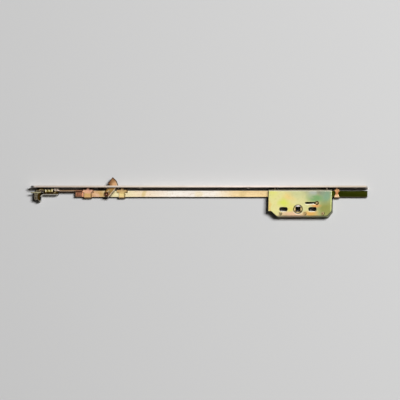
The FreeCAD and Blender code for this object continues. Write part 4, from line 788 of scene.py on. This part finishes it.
rounding = {
    "sharpAngle": math.radians(32),          # a sharper edge gets its round
    "flatAngle": math.radians(1.0),          # faces that differ by less are one face
    "mergeWithin": 0.001,                    # mm between corners of the CAD mesh that are one
    "edgeSegments": 3, "bendSegments": 4,
    "frontFacing": 0.99, "wallFacing": 0.1,  # Z of the normal of a front, and at most of a wall
    "hullPlay": 0.05,                        # mm that a corner may stand out past an outer wall
}


def bendOutline(shape, radius):
    # rounds the front edges that lie on the outer hull, so no hole or notch is touched
    bent = []
    for edge in shape.edges:
        if len(edge.link_faces) != 2:
            continue
        wall, front = sorted(edge.link_faces, key=lambda face: face.normal.z)
        if front.normal.z < rounding["frontFacing"] or abs(wall.normal.z) > rounding["wallFacing"]:
            continue
        middle = (edge.verts[0].co + edge.verts[1].co) / 2
        play = rounding["hullPlay"] * mm
        if all((corner.co - middle).dot(wall.normal) < play for corner in shape.verts):
            bent.append(edge)
    bmesh.ops.bevel(
        shape, geom=bent, offset=radius * mm, offset_type="OFFSET",
        segments=rounding["bendSegments"], profile=0.5, affect="EDGES", clamp_overlap=False,
        material=-1,
    )
    print("outline bends:", len(bent))


def softenedCopy(node, finish, radius):
    # a merged copy of the CAD piece whose sharp edges get a small round
    source = frame["nodes"][node]
    mesh = bpy.data.meshes.new(node + ".soft")
    shape = bmesh.new()
    shape.from_mesh(source.data)
    bmesh.ops.remove_doubles(shape, verts=shape.verts[:], dist=rounding["mergeWithin"] * mm)
    bmesh.ops.dissolve_limit(
        shape, angle_limit=rounding["flatAngle"], verts=shape.verts[:], edges=shape.edges[:],
    )
    if node in outlineBends:
        bendOutline(shape, outlineBends[node])
    for face in shape.faces:
        face.smooth = True
    for edge in shape.edges:
        edge.smooth = edge.calc_face_angle(0.0) < rounding["sharpAngle"]
    shape.to_mesh(mesh)
    shape.free()
    piece = bpy.data.objects.new(node + ".soft", mesh)
    scene.collection.objects.link(piece)
    mesh.materials.append(finishes[finish])
    bevel = piece.modifiers.new("edge", "BEVEL")
    bevel.width = radius * mm
    bevel.segments = rounding["edgeSegments"]
    bevel.limit_method = "ANGLE"
    bevel.angle_limit = rounding["sharpAngle"]
    weighted = piece.modifiers.new("normals", "WEIGHTED_NORMAL")
    weighted.keep_sharp = True
    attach(piece, bodyOf[node])
    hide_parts(node)


for node, (finish, radius) in softEdges.items():
    softenedCopy(node, finish, radius)
print("softened copies:", len(softEdges))

# Table: matt grey card, just under the lowest piece

card = {
    "colour": "#CDCDCD", "roughness": 0.9, "gloss": 0.1,
    "middle": (-0.15, 0.0, -0.0002), "halfWidth": 3.0,
}
tableMaterial, tableTree, tableOutput = newMaterial("matt grey card")
tableShader = addNode(tableTree, "ShaderNodeBsdfPrincipled", {
    "Base Color": linear(card["colour"]), "Roughness": card["roughness"],
    "Specular IOR Level": card["gloss"],
})
tableTree.links.new(tableShader.outputs["BSDF"], tableOutput.inputs["Surface"])
tableMesh = bpy.data.meshes.new("table")
shape = bmesh.new()
bmesh.ops.create_grid(shape, x_segments=1, y_segments=1, size=card["halfWidth"])
shape.to_mesh(tableMesh)
shape.free()
tableMesh.transform(Matrix.Translation(card["middle"]))
tableMesh.materials.append(tableMaterial)
table = bpy.data.objects.new("table", tableMesh)
scene.collection.objects.link(table)
print("table placed")
